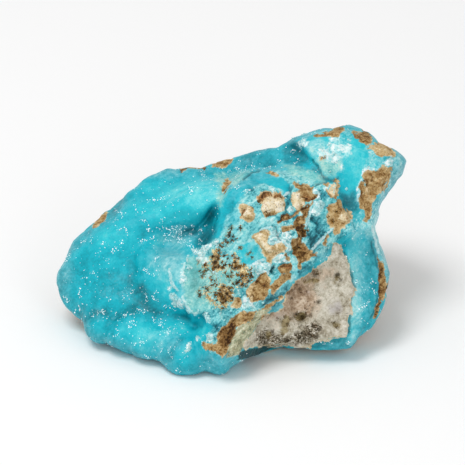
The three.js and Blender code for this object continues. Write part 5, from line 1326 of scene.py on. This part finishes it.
# how the crystals and the earthy ground take the light
stoneFinish = {
    "crystalRoughness": (0.46, 0.16),  # and how much of it the fine noise takes away
    "earthRoughness": (0.86, 0.1),
    "specular": 0.25,
    "subsurface": 0.18,
    "subsurfaceDepth": 1.0,            # mm
    "subsurfaceColours": (0.3, 0.9, 1.0),
    "fineBump": (0.5, 0.1),            # strength, and depth in mm
    "grainBump": (0.4, 0.15),
}


def ridgeDirection():  # turns the x axis along the ridge, which climbs to the right
    along = faceToWorld(7, 8, 0) - faceToWorld(0, 0, 0)
    return along.to_track_quat("X", "Z")


def stoneMaterial():
    bench = Bench("smithsonite stone")
    mask, step, noise, over, size = bench.mask, bench.step, bench.noise, bench.over, patternSizes
    place = bench.millimetres()
    alongRidge = bench.node(
        "ShaderNodeMapping", {"vector_type": "TEXTURE"},
        {"Vector": place, "Rotation": ridgeDirection().to_euler(), "Scale": (4.0, 1.0, 1.0)},
    )
    fineNoise = noise(place, size["fine"], 3, 0.65)
    crystalGrain = bench.grains(place, size["crystal"])
    # each of these lies about zero
    broad = noise(place, size["broad"], 2) - 0.5
    medium = noise(place, size["medium"], 3) - 0.5
    streak = noise(alongRidge, size["streak"], 3, 0.6) - 0.5
    shard = bench.facets(place, size["shard"]) - 0.5
    fine = fineNoise - 0.5
    grit = bench.facets(place, size["grit"]) - 0.5
    crumb = noise(place, size["crumb"], 2, 0.6) - 0.5
    wander = 0.9 * medium + 0.8 * fine + 0.5 * crumb

    # low, hollow and crevice darken the colours below as painted shade; the tone mask carries
    # painted light and shade with the crust's own tone
    names = ("low", "hollow", "ridge", "head", "crevice", "tone")
    low, hollow, ridge, head, crevice, toneAndShade = (mask(name) for name in names)
    patch = {
        kind: step(mask(kind) + wanders * wander, begins, full)
        for kind, (wanders, begins, full) in edgeFade.items()
    }

    # the blue crust, paler and streaked where the ridge is broken
    mottled = 0.34 * broad + 0.3 * medium + 0.18 * fine + 0.07 * grit
    # painted shade: the crust darker in hollows and on the dark teal ground, the ridge also in the
    # low spots of its chips
    skinTone = toneAndShade + 0.5 + mottled - 0.2 * hollow - 0.24 * patch["deep"]
    broken = streak + 0.5 * fine + 0.24 * shard + 0.7 * medium + 0.12 * grit
    ridgeTone = toneAndShade + 0.57 + broken - 0.35 * low - 0.3 * hollow - 0.34 * patch["deep"]
    ridgeAmount = step(ridge - 0.55 * head + 0.7 * medium, 0.1, 0.8)
    blue = over(bench.ramp(skinTone, stonePaint["blue"]), ridgeAmount, "ridge", ridgeTone)
    # grey patches, and the painted sheen along the outline
    greyAndRimSheen = step(mask("grey") + 0.7 * medium, 0.1, 1.0)
    blue = over(blue, 0.6 * greyAndRimSheen, "grey", ridgeTone)
    # fewer milky whites in the low spots, a painted shade
    milkAmount = mask("milk") + ridge * (1.1 * streak + 0.7 * fine + 0.2 * shard)
    milkAmount = milkAmount + 0.7 * medium - 0.5 * low * ridge - 0.7 * patch["deep"]
    milkTone = 0.45 + 1.2 * fine + 0.8 * streak + 0.3 * shard
    blue = over(blue, step(milkAmount, 0.15, 0.8), "milk", milkTone)
    greenTone = 0.45 + 0.9 * toneAndShade + 1.4 * fine + 1.1 * medium + 0.6 * crumb
    blue = over(blue, 0.62 * patch["green"], "green", greenTone)
    white = step(mask("white") + (0.9 - 0.5 * head) * wander, -0.2, 0.2)
    paleEdge = step(mask("paleEdge") + 0.8 * fine, 0.3, 0.8)
    whiteAmount = bench.larger((0.78 + 1.1 * shard) * white, 0.6 * paleEdge)
    # the white crystals darker in the low spots: painted shade
    whiteTone = 0.64 + 1.2 * fine + 0.5 * crumb + 0.3 * shard - 0.3 * low
    blue = over(blue, whiteAmount, "white", whiteTone)
    # painted shade in the cracks
    crackShade = step(crevice + 0.8 * fine, 0.3, 0.9)
    blue = over(blue, 0.6 * crackShade, "crevice")

    # brown limonite, cream on the knobs and rusty in places
    edge = mask("limonite") + 0.7 * wander
    ochre = 0.54 + mask("patchTone") + 0.85 * fine + 1.15 * medium + 0.25 * grit
    # painted shade: the brown darker in low spots and cracks
    ochre = ochre - (0.3 - 0.2 * head) * low - 0.35 * crevice
    creamEdge = mask("cream") + 1.5 * wander
    seams = noise(alongRidge, size["seams"], 3, 0.6)
    rim = step(edge, 0.26, 0.04) * step(noise(place, size["rim"], 2), 0.44, 0.6)
    freckles = step(noise(place, size["freckles"], 2), 0.62, 0.7)
    # painted shade: rust darker and dark pits a little commoner in low spots
    rustTone = 0.5 + 1.7 * fine + 0.5 * grit - 0.5 * low
    pits = step(noise(place, size["pits"], 2) + 0.07 * low, 0.62, 0.68)
    brown = bench.ramp(ochre, stonePaint["limonite"])
    brown = over(brown, step(creamEdge, -0.4, 0.3), "cream", ochre)
    brown = over(brown, (0.6 - 0.4 * head) * step(seams, 0.4, 0.3), "limonite", ochre - 0.25)
    brown = over(brown, 0.5 * step(seams, 0.6, 0.72), "cream", ochre)
    brown = over(brown, 0.6 * rim, "cream", ochre)
    brown = over(brown, bench.larger(patch["rusty"], 0.5 * freckles), "rust", rustTone)
    brown = over(brown, 0.6 * pits, "pit")
    brownMask = bench.larger(step(edge, -0.2, -0.06), step(creamEdge, 0.3, 0.4), patch["rusty"])

    # dark clots and honey-coloured crystals on the spotted end
    small = step(noise(place, size["smallClots"], 2, 0.6), 0.62, 0.66) * patch["spotted"]
    clotEdge = mask("clot") + 1.3 * fine + 1.2 * crumb + 0.2 * grit
    clotMask = bench.larger(step(clotEdge, -0.2, 0.0), 0.85 * small)
    halo = step(clotEdge + 1.2 * medium, -0.6, -0.2)
    halo = halo * step(noise(place, size["halo"], 2), 0.42, 0.6)
    crumbs = step(noise(place, size["crumbs"], 2, 0.7), 0.56, 0.62) * patch["spotted"]
    amber = step(mask("amber") + 1.6 * crumb + 1.8 * fine + 0.5 * grit, -0.25, 0.05)
    amberTone = 0.48 + 1.8 * crumb + 1.4 * fine + 0.9 * grit
    spot = bench.ramp(0.36 + 1.2 * crumb + fine + 0.6 * grit, stonePaint["spot"])

    # the bare rock, stained and mottled
    rockEdge = mask("rock") + wander
    rockMask = step(rockEdge, -0.05, 0.1)
    # painted shade: the rock and its mottle darker in low spots
    rockTone = 0.55 + 0.6 * broad + 1.1 * medium + 0.9 * fine + 0.2 * grit - 0.4 * low
    mottleTone = 0.5 + 1.8 * fine + 0.9 * medium + 0.7 * grit - 0.3 * low
    stained = step(mask("stain") + 1.6 * medium + fine, 0.2, 0.9)
    lilac = step(mask("lilac") + 1.2 * medium, 0.3, 1.0)
    specks = noise(place, size["specks"], 2) + 0.05 * mask("stain") + 0.05 * patch["mottle"]
    rockSpot = step(mask("rockSpot") + 1.2 * fine + 0.9 * crumb, -0.22, 0.05)
    rock = over(bench.ramp(rockTone, stonePaint["rock"]), 0.85 * stained, "rockStain", rockTone)
    rock = over(rock, 0.6 * lilac, "lilac")
    rock = over(rock, patch["mottle"], "mottle", mottleTone)
    rock = over(rock, 0.85 * patch["olive"], "olive", rockTone - 0.05)
    rock = over(rock, 0.6 * step(specks, 0.67, 0.72), "pit")
    rock = over(rock, 0.66 * rockSpot, "spot", 0.34 + 0.6 * grit + 0.8 * fine)
    rock = over(rock, 0.6 * step(rockEdge, 0.4, 0.1), "cream", rockTone)

    # the rough back, with grey and ochre patches and thin blue crusts
    reach = step(mask("back"), 0.0, 0.2)
    backWander = noise(place, size["back"], 5, 0.65) - 0.5
    backMask = step(mask("back") + 3.2 * reach * backWander, 0.44, 0.52)
    # painted shade: the back darker in low spots
    backTone = 0.5 + 0.9 * medium + 0.9 * fine + 0.8 * broad + 0.2 * grit - 0.35 * low
    greyPatch = step(noise(place, size["backGrey"], 4, 0.6), 0.5, 0.62)
    ochrePatch = step(noise(place, size["backOchre"], 4, 0.6), 0.56, 0.62)
    backCrust = step(noise(place, size["backCrust"], 5, 0.6) + 0.1 * broad, 0.62, 0.65)
    back = over(bench.ramp(backTone, stonePaint["back"]), 0.75 * greyPatch, "rock", backTone - 0.05)
    back = over(back, 0.8 * ochrePatch, "limonite", backTone)
    back = over(back, 0.85 * backCrust, "ridge", backTone)
    back = over(back, 0.7 * pits, "pit")

    blue = over(blue, 0.4 * halo, "halo")
    blue = over(blue, 0.9 * bench.larger(amber, 0.7 * crumbs), "amber", amberTone)
    # the painted shadow, nearly black teal
    blue = over(blue, patch["ink"], "ink", 0.5 + 1.2 * fine + 0.4 * grit)
    # painted shade: the sage darker in low spots
    sageTone = 0.5 + 1.6 * streak + 0.9 * fine + 0.25 * grit - 0.3 * low
    blue = over(blue, 0.9 * patch["sage"], "sage", sageTone)
    colour = blue
    grounds = ((brownMask, brown), (rockMask, rock), (clotMask, spot), (backMask, back))
    for amount, ground in grounds:
        colour = bench.mix(amount, colour, ground)

    fineBump = bench.bump(fineNoise, *stoneFinish["fineBump"])
    grainBump = bench.bump(1 - crystalGrain, *stoneFinish["grainBump"], fineBump)
    crystalRough, crystalVaries = stoneFinish["crystalRoughness"]
    earthRough, earthVaries = stoneFinish["earthRoughness"]
    crystal = bench.node(
        "ShaderNodeBsdfPrincipled", {"subsurface_method": "RANDOM_WALK"},
        {
            "Base Color": colour, "Normal": grainBump,
            "Roughness": crystalRough - crystalVaries * fineNoise,
            "Subsurface Weight": stoneFinish["subsurface"],
            "Subsurface Radius": stoneFinish["subsurfaceColours"],
            "Subsurface Scale": stoneFinish["subsurfaceDepth"] * mm,
            "Specular IOR Level": stoneFinish["specular"],
        },
    )
    dull = bench.node(
        "ShaderNodeBsdfPrincipled", None,
        {
            "Base Color": colour, "Normal": fineBump,
            "Roughness": earthRough - earthVaries * fineNoise,
            "Specular IOR Level": stoneFinish["specular"],
        },
    )
    earth = bench.larger(brownMask, rockMask, clotMask, backMask)
    return bench.finish(bench.node("ShaderNodeMixShader", None, {0: earth, 1: crystal, 2: dull}))


# tiny crystals standing on the crust, along short wandering lines, and scattered elsewhere; each
# glows faintly white, a painted glint
druse = {
    "onLines": 1300,
    "scattered": 1050,
    "size": (0.03, 0.09),   # mm, half width
    "sizeBias": 1.7,        # above 1, small ones are commoner
    "scatteredSize": 0.8,   # how much smaller the scattered ones are
    "strayed": 0.16,        # mm that a crystal strays from its line
    "jitter": 0.1,          # mm
    "raised": 0.02,         # mm
    "wanderWidth": 0.04,    # how closely the scattered ones keep to wandering lines
    "toneSize": 0.8,        # mm across its paler and bluer crystals
    "tones": [(0.3, "#c8f0f0"), (0.6, "#ffffff")],
    "roughness": 0.2,
    "specular": 0.8,
    # painted glint: a faint white glow on every crystal
    "paintedGlow": 0.3,
    "seed": 7,
}
druseLines = [[(-23.4, 8.8), (-22.4, 7.2), (-20.8, 7.6)], [(-19.2, 8), (-18, 7.6)],
    [(-17.8, 6), (-16.6, 5.8), (-16.2, 4.4), (-16.4, 3.6)],
    [(-16.6, 9.6), (-15.8, 10), (-14.4, 10), (-13, 10.4)], [(-21, 4.6), (-20.6, 3)],
    [(-23, 4.8), (-22, 4)], [(-30, 1.6), (-29, 1.8), (-27.8, 1.6), (-27.4, -0.4)],
    [(-26.6, 2.2), (-25.8, 1), (-25.2, 1.4)], [(-22, 1.6), (-21.2, 1.4)],
    [(-23.8, -0.6), (-23, 0.6), (-22.4, 0)], [(-24.8, -2), (-23.8, -2.4)],
    [(-29.2, -5.6), (-28, -4.8), (-26.8, -4.4)], [(-30.2, -7.6), (-30, -10)],
    [(-30.2, -11), (-30, -12.2), (-31.4, -12.2)],
    [(-27.4, -13.4), (-26.2, -12.4), (-25.2, -12), (-25.4, -13)], [(-24.4, -10), (-23.8, -9.8)],
    [(-21.6, -9.4), (-20, -8.6), (-19, -8)], [(-18.4, 2), (-17.2, 1.8), (-15.8, 2.4), (-14.4, 2.6)],
    [(-18.2, -3.6), (-16.6, -4), (-16, -5.2), (-14.6, -4.8)], [(-21.2, -13.6), (-20.8, -12.6)],
    [(-19.6, -13.2), (-18.2, -12), (-17.8, -12.4)], [(-17.4, -12.6), (-16.6, -12)],
    [(-15.6, -13.4), (-14.6, -14.4), (-13.6, -15.4), (-13.8, -14)],
    [(-20.4, -15.6), (-19.6, -15.2)],
    [(-23.2, -17.6), (-22.6, -16.8), (-22.4, -16), (-21.4, -17.8)],
    [(-19, -19), (-18, -18.2), (-17.2, -18.4), (-17.6, -17.8)], [(-14, -20.2), (-13.2, -19.6)],
    [(-12.2, -20.4), (-11.6, -19.4), (-10.8, -19.4)],
    [(-16.8, -20.8), (-16.4, -21.4), (-15.6, -20.8)],
    [(-12.4, -16.6), (-12, -15.6), (-12.6, -17.2)], [(-13.4, -11), (-12.4, -11.2), (-10.8, -11.8)],
    [(-9.2, 13.4), (-8.2, 12.4), (-7.4, 12.4), (-6.4, 12.8)], [(-8, 11.8), (-7.4, 11)],
    [(-5.8, 15.8), (-5.2, 15.2), (-5.2, 14.2)], [(-4.6, 16.2), (-3.6, 16.6)],
    [(-2.6, 16.4), (-1.4, 16.4)], [(-1, 15.6), (0, 15.8)], [(1, 16.4), (2, 16.4)],
    [(0.8, 12.6), (1.4, 12.2), (2, 12.8)], [(2.6, 11.4), (4, 12)], [(-6.6, 7), (-6, 7.4)],
    [(-14, 5.6), (-13, 6.6)], [(-11.2, 4), (-10.4, 4.2), (-9.2, 5), (-8.8, 4.4)],
    [(-8, 5), (-7.2, 4.4)], [(-6.4, 4), (-5, 4)], [(-10, 3.8), (-9.8, 2.6)],
    [(-11.4, 2.8), (-10, 2)], [(-8.2, 3), (-8, 1.8)], [(-7, 2.8), (-6, 2.2), (-6, 1)],
    [(-13.2, 2), (-12.4, 2), (-12.2, 1.2)], [(-15.2, -2.4), (-14.4, -1.4)],
    [(28, -6.6), (28.6, -6.4)], [(27.6, -8.4), (28.6, -8), (28.4, -9.4)],
    [(26.2, -11.6), (27.2, -10.8), (28.2, -10)], [(25.4, -11.8), (26.4, -11.2)],
    [(24.2, -4), (24.6, -5.2)], [(23.6, -1), (24, -1.8)], [(4, 17.8), (4.8, 16.4)],
    [(7.8, 16.8), (8.4, 16.4)], [(9.4, 17.2), (10.2, 18)], [(12.2, 20), (14.2, 19.8)],
    [(2.6, 16), (3.2, 16.6), (3.6, 15.6)], [(-14.4, -8), (-15.4, -9.4), (-14, -10)],
    [(-17.6, -8), (-16.4, -9.2), (-16.8, -10.4)], [(-9, -21.2), (-8.2, -21)],
    [(-12, -21.2), (-11, -21.6)], [(-10.4, -23.2), (-10, -24.2)], [(-33.2, -9.2), (-32.4, -10.6)],
    [(-32.8, -2.4), (-32, -1)], [(26.2, -14), (27.2, -14.4)], [(25, -7), (25.4, -6)],
    [(-5, 10.2), (-4.4, 10)], [(-3.4, 3.6), (-2.8, 4)], [(13.2, 17.4), (13.8, 18.4)],
    [(17.6, -18.2), (20, -18.6)], [(23, -18.6), (24, -18.2)],
    [(-14.6, 4.4), (-12.4, 4.2), (-10.4, 3.2)], [(-13.6, 3.2), (-11.4, 2.8), (-9.2, 2)],
    [(-11.4, 4.8), (-9.4, 3.8), (-7.6, 2.8)], [(-10.6, 1.8), (-8.6, 1), (-7, 0.6)],
    [(-21.8, -13.6), (-20.4, -12.6), (-19.2, -13)], [(-21, -14.8), (-19.6, -14.2), (-18.6, -14.8)]]

# larger milky crystals on the white patches and along the broken edges
milkCrystals = {
    "count": 540,
    "size": (0.08, 0.24),  # mm, half width
    "sizeBias": 1.6,       # above 1, small ones are commoner
    "jitter": 0.08,        # mm
    "sunk": 0.45,          # how deep each one sits, in half widths
    "tone": 0.6,           # along the milk colours
    "toneNoise": ((1.2, 1.2), (0.8, 0.3)),  # how far it strays, and over how many mm
    "roughness": 0.3,
    "specular": 0.4,
    "subsurface": 0.2,
    "subsurfaceDepth": 0.6,  # mm
    "subsurfaceColours": (0.5, 0.9, 1.0),
    "seed": 11,
}

# the little leaning boxes that both kinds are made of
rhombForm = {
    "lean": (0.35, 0.2),
    "spin": 0.9,
    "tilt": 0.35,                # how far one may tilt from the surface
    "narrowest": (0.7, 0.7, 0.6),  # in half widths, along its three sides
    "widest": (1.5, 1.1, 1.0),
}


def glintMaterial():
    bench = Bench("druse glints")
    tone = bench.noise(bench.millimetres(), druse["toneSize"], 2)
    # the glow paints a glint on each crystal whatever the light
    return bench.finish(bench.node(
        "ShaderNodeBsdfPrincipled", None,
        {
            "Base Color": bench.ramp(tone, druse["tones"]), "Roughness": druse["roughness"],
            "Specular IOR Level": druse["specular"],
            "Emission Color": (1.0, 1.0, 1.0, 1.0), "Emission Strength": druse["paintedGlow"],
        },
    ))


def milkMaterial():
    bench = Bench("milky crystals")
    place = bench.millimetres()
    tone = milkCrystals["tone"]
    for amount, size in milkCrystals["toneNoise"]:
        tone = tone + amount * (bench.noise(place, size, 2) - 0.5)
    return bench.finish(bench.node(
        "ShaderNodeBsdfPrincipled", None,
        {
            "Base Color": bench.ramp(tone, stonePaint["milk"]),
            "Roughness": milkCrystals["roughness"],
            "Specular IOR Level": milkCrystals["specular"],
            "Subsurface Weight": milkCrystals["subsurface"],
            "Subsurface Scale": milkCrystals["subsurfaceDepth"] * mm,
            "Subsurface Radius": milkCrystals["subsurfaceColours"],
        },
    ))


def rhombs(name, places, normals, sizes, seed):  # one mesh of them
    random = np.random.default_rng(seed)
    count = len(places)
    box = np.array([(x, y, z) for z, y, x in product((-1, 1), repeat=3)], float)
    box[:, 0] += rhombForm["lean"][0] * box[:, 2]
    box[:, 1] += rhombForm["lean"][1] * box[:, 0]
    spin = random.normal(size=(count, 3)) * rhombForm["spin"]
    up = normals + spin * rhombForm["tilt"]
    up /= np.linalg.norm(up, axis=1, keepdims=True)
    side = np.cross(up, random.normal(size=(count, 3)))
    side /= np.linalg.norm(side, axis=1, keepdims=True)
    other = np.cross(up, side)
    stretch = random.uniform(rhombForm["narrowest"], rhombForm["widest"], (count, 3))
    stretch = sizes[:, None] * stretch
    corners = places[:, None, :] + sum(
        box[None, :, axis, None] * (stretch[:, axis, None] * direction)[:, None, :]
        for axis, direction in enumerate((side, other, up))
    )
    sides = np.array([
        (0, 2, 3, 1), (4, 5, 7, 6), (0, 1, 5, 4), (2, 6, 7, 3), (0, 4, 6, 2), (1, 3, 7, 5),
    ])
    faces = (np.arange(count)[:, None, None] * len(box) + sides[None]).reshape(-1, 4)
    return meshPiece(name, corners.reshape(-1, 3), faces)


def nearestPoints(points, usable, across, up):  # the mesh point behind each place on the face
    spot = np.nonzero(usable)[0]
    faceAcross, faceUp, _ = toFace(*points[spot].T)
    return np.array([
        spot[np.argmin((faceAcross - x) ** 2 + (faceUp - y) ** 2)] for x, y in zip(across, up)
    ])


def drawSizes(random, piece, count):
    smallest, largest = piece["size"]
    return smallest + (largest - smallest) * random.uniform(0, 1, count) ** piece["sizeBias"]


def drusePlaces(points, normals, masks):
    random = np.random.default_rng(druse["seed"])
    lengths = np.array([
        sum(math.dist(a, b) for a, b in zip(line, line[1:])) for line in druseLines
    ])
    share = (lengths + 0.5) / (lengths + 0.5).sum()
    across, up = [], []
    for pick in random.choice(len(lengths), druse["onLines"], p=share):
        line = np.array(druseLines[pick])
        along = random.uniform(0, len(line) - 1)
        step = min(int(along), len(line) - 2)
        spot = line[step] + (line[step + 1] - line[step]) * (along - step)
        spot = spot + random.normal(size=2) * druse["strayed"]
        across.append(spot[0])
        up.append(spot[1])
    onLines = nearestPoints(points, masks["front"] > 0.5, across, up)
    place = points.T
    wander = softNoise(place, 4.2, 91) + 0.5 * softNoise(place, 1.7, 97)
    lines = np.exp(-(((wander - 0.78) / druse["wanderWidth"]) ** 2))
    bare = ease(masks["limonite"], -0.2, 0) + ease(masks["rock"], -0.2, 0)
    bare = bare + ease(masks["spotted"], -0.5, 0)
    crust = np.clip(1 - 0.9 * masks["ridge"] - bare - masks["back"] - masks["smooth"], 0, 1)
    chance = crust * (lines + 0.05) * (0.25 + np.clip(masks["glint"], 0, 1.2))
    chance = chance * (points[:, 2] > 0.5)
    count = druse["scattered"]
    scattered = random.choice(len(points), count, replace=False, p=chance / chance.sum())
    chosen = np.concatenate([onLines, scattered])
    sizes = drawSizes(random, druse, len(chosen))
    sizes[len(onLines):] *= druse["scatteredSize"]
    jitter = random.normal(size=(len(chosen), 3)) * druse["jitter"]
    return points[chosen] + jitter + normals[chosen] * druse["raised"], normals[chosen], sizes


def milkPlaces(points, normals, masks):
    random = np.random.default_rng(milkCrystals["seed"])
    bare = ease(masks["limonite"], -0.3, -0.1) + ease(masks["rock"], -0.3, -0.1)
    bare = bare + ease(masks["deep"], -0.3, 0.1)
    bare += ease(masks["sage"], -0.3, -0.1) + ease(masks["amber"], -0.3, -0.1)
    chance = 2.5 * ease(masks["white"], -0.2, 0.2) + 0.5 * masks["paleEdge"] + 0.15 * masks["ridge"]
    chance = chance * np.clip(1 - bare, 0, 1) * (1 - 0.8 * masks["head"])
    count = milkCrystals["count"]
    chosen = random.choice(len(points), count, replace=False, p=chance / chance.sum())
    sizes = drawSizes(random, milkCrystals, len(chosen))
    jitter = random.normal(size=(len(chosen), 3)) * milkCrystals["jitter"]
    depth = (sizes * milkCrystals["sunk"])[:, None]
    return points[chosen] + jitter - normals[chosen] * depth, normals[chosen], sizes


distances, netLow = sampleStone()
points, quads = keepLargest(*surfaceNet(distances, netLow))
print("net:", len(points), "points,", len(quads), "quads")
points = pullToSurface(points)
normals = pointNormals(points, quads)
masks = groundMasks(points, normals)
points = carve(points, normals, masks)
print("relief carved")
stone = meshPiece("stone", points, quads, masks)
for polygon in stone.data.polygons:
    polygon.use_smooth = True
stone.data.materials.append(stoneMaterial())
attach(stone, "root")
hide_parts("smithsonite_specimen")
print("stone done")

normals = pointNormals(points, quads)
for name, places, material, seed in (
    ("druse_glints", drusePlaces(points, normals, masks), glintMaterial(), druse["seed"]),
    ("milk_crystals", milkPlaces(points, normals, masks), milkMaterial(), milkCrystals["seed"]),
):
    piece = rhombs(name, *places, seed)
    piece.data.materials.append(material)
    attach(piece, "root")
    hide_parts("smithsonite_specimen")
    print(name, "done")

# metres, unless said otherwise
studio = {
    "floorSize": 3.0,
    "floorColour": "#ffffff",
    "worldStrength": 0.62,
    # place and power in watts
    "softboxes": {
        "top softbox": ((-0.2, -0.12, 0.6), 1.6),
        "front softbox": ((0.3, -0.6, 0.35), 0.5),
    },
    "softboxSize": 0.3,
    "softboxAim": (0, 0, 0.015),
    "cameraDistance": 1.2,
    "viewWidth": 0.093,      # across the view at the stone
    "aim": (0.5, 3.5, 3.0),  # across, up and out, where the middle of the view lies, mm
    "sensorWidth": 36,       # mm
}


def floorMaterial():
    bench = Bench("studio floor")
    return bench.finish(bench.node(
        "ShaderNodeBsdfPrincipled", None,
        {"Base Color": paint(studio["floorColour"]), "Roughness": 0.9},
    ))


def softbox(name, place, power):
    light = bpy.data.lights.new(name, "AREA")
    light.shape = "DISK"
    light.size = studio["softboxSize"]
    light.energy = power
    lamp = bpy.data.objects.new(name, light)
    lamp.location = Vector(place)
    aim = Vector(studio["softboxAim"]) - lamp.location
    lamp.rotation_euler = aim.to_track_quat("-Z", "Y").to_euler()
    bpy.context.scene.collection.objects.link(lamp)


half = studio["floorSize"] / 2
floorCorners = [(-half, -half, 0), (half, -half, 0), (half, half, 0), (-half, half, 0)]
floorMesh = bpy.data.meshes.new("floor")
floorMesh.from_pydata(floorCorners, [], [(0, 1, 2, 3)])
floor = bpy.data.objects.new("floor", floorMesh)
floor.data.materials.append(floorMaterial())
bpy.context.scene.collection.objects.link(floor)

world = bpy.data.worlds.new("studio")
world.use_nodes = True
world.node_tree.nodes["Background"].inputs["Color"].default_value = (1, 1, 1, 1)
world.node_tree.nodes["Background"].inputs["Strength"].default_value = studio["worldStrength"]
bpy.context.scene.world = world
for name, (place, power) in studio["softboxes"].items():
    softbox(name, place, power)

cameraData = bpy.data.cameras.new("camera")
camera = bpy.data.objects.new("camera", cameraData)
bpy.context.scene.collection.objects.link(camera)
cameraData.sensor_width = studio["sensorWidth"]
cameraData.lens = studio["sensorWidth"] * studio["cameraDistance"] / studio["viewWidth"]
lean = math.radians(stoneForm["faceLean"])
back = Vector((0, -math.cos(lean), math.sin(lean)))
camera.location = faceToWorld(*studio["aim"]) + back * studio["cameraDistance"]
camera.rotation_mode = "QUATERNION"
camera.rotation_quaternion = (-back).to_track_quat("-Z", "Y")
bpy.context.scene.camera = camera
bpy.context.scene.view_settings.view_transform = "Standard"
print("studio done")
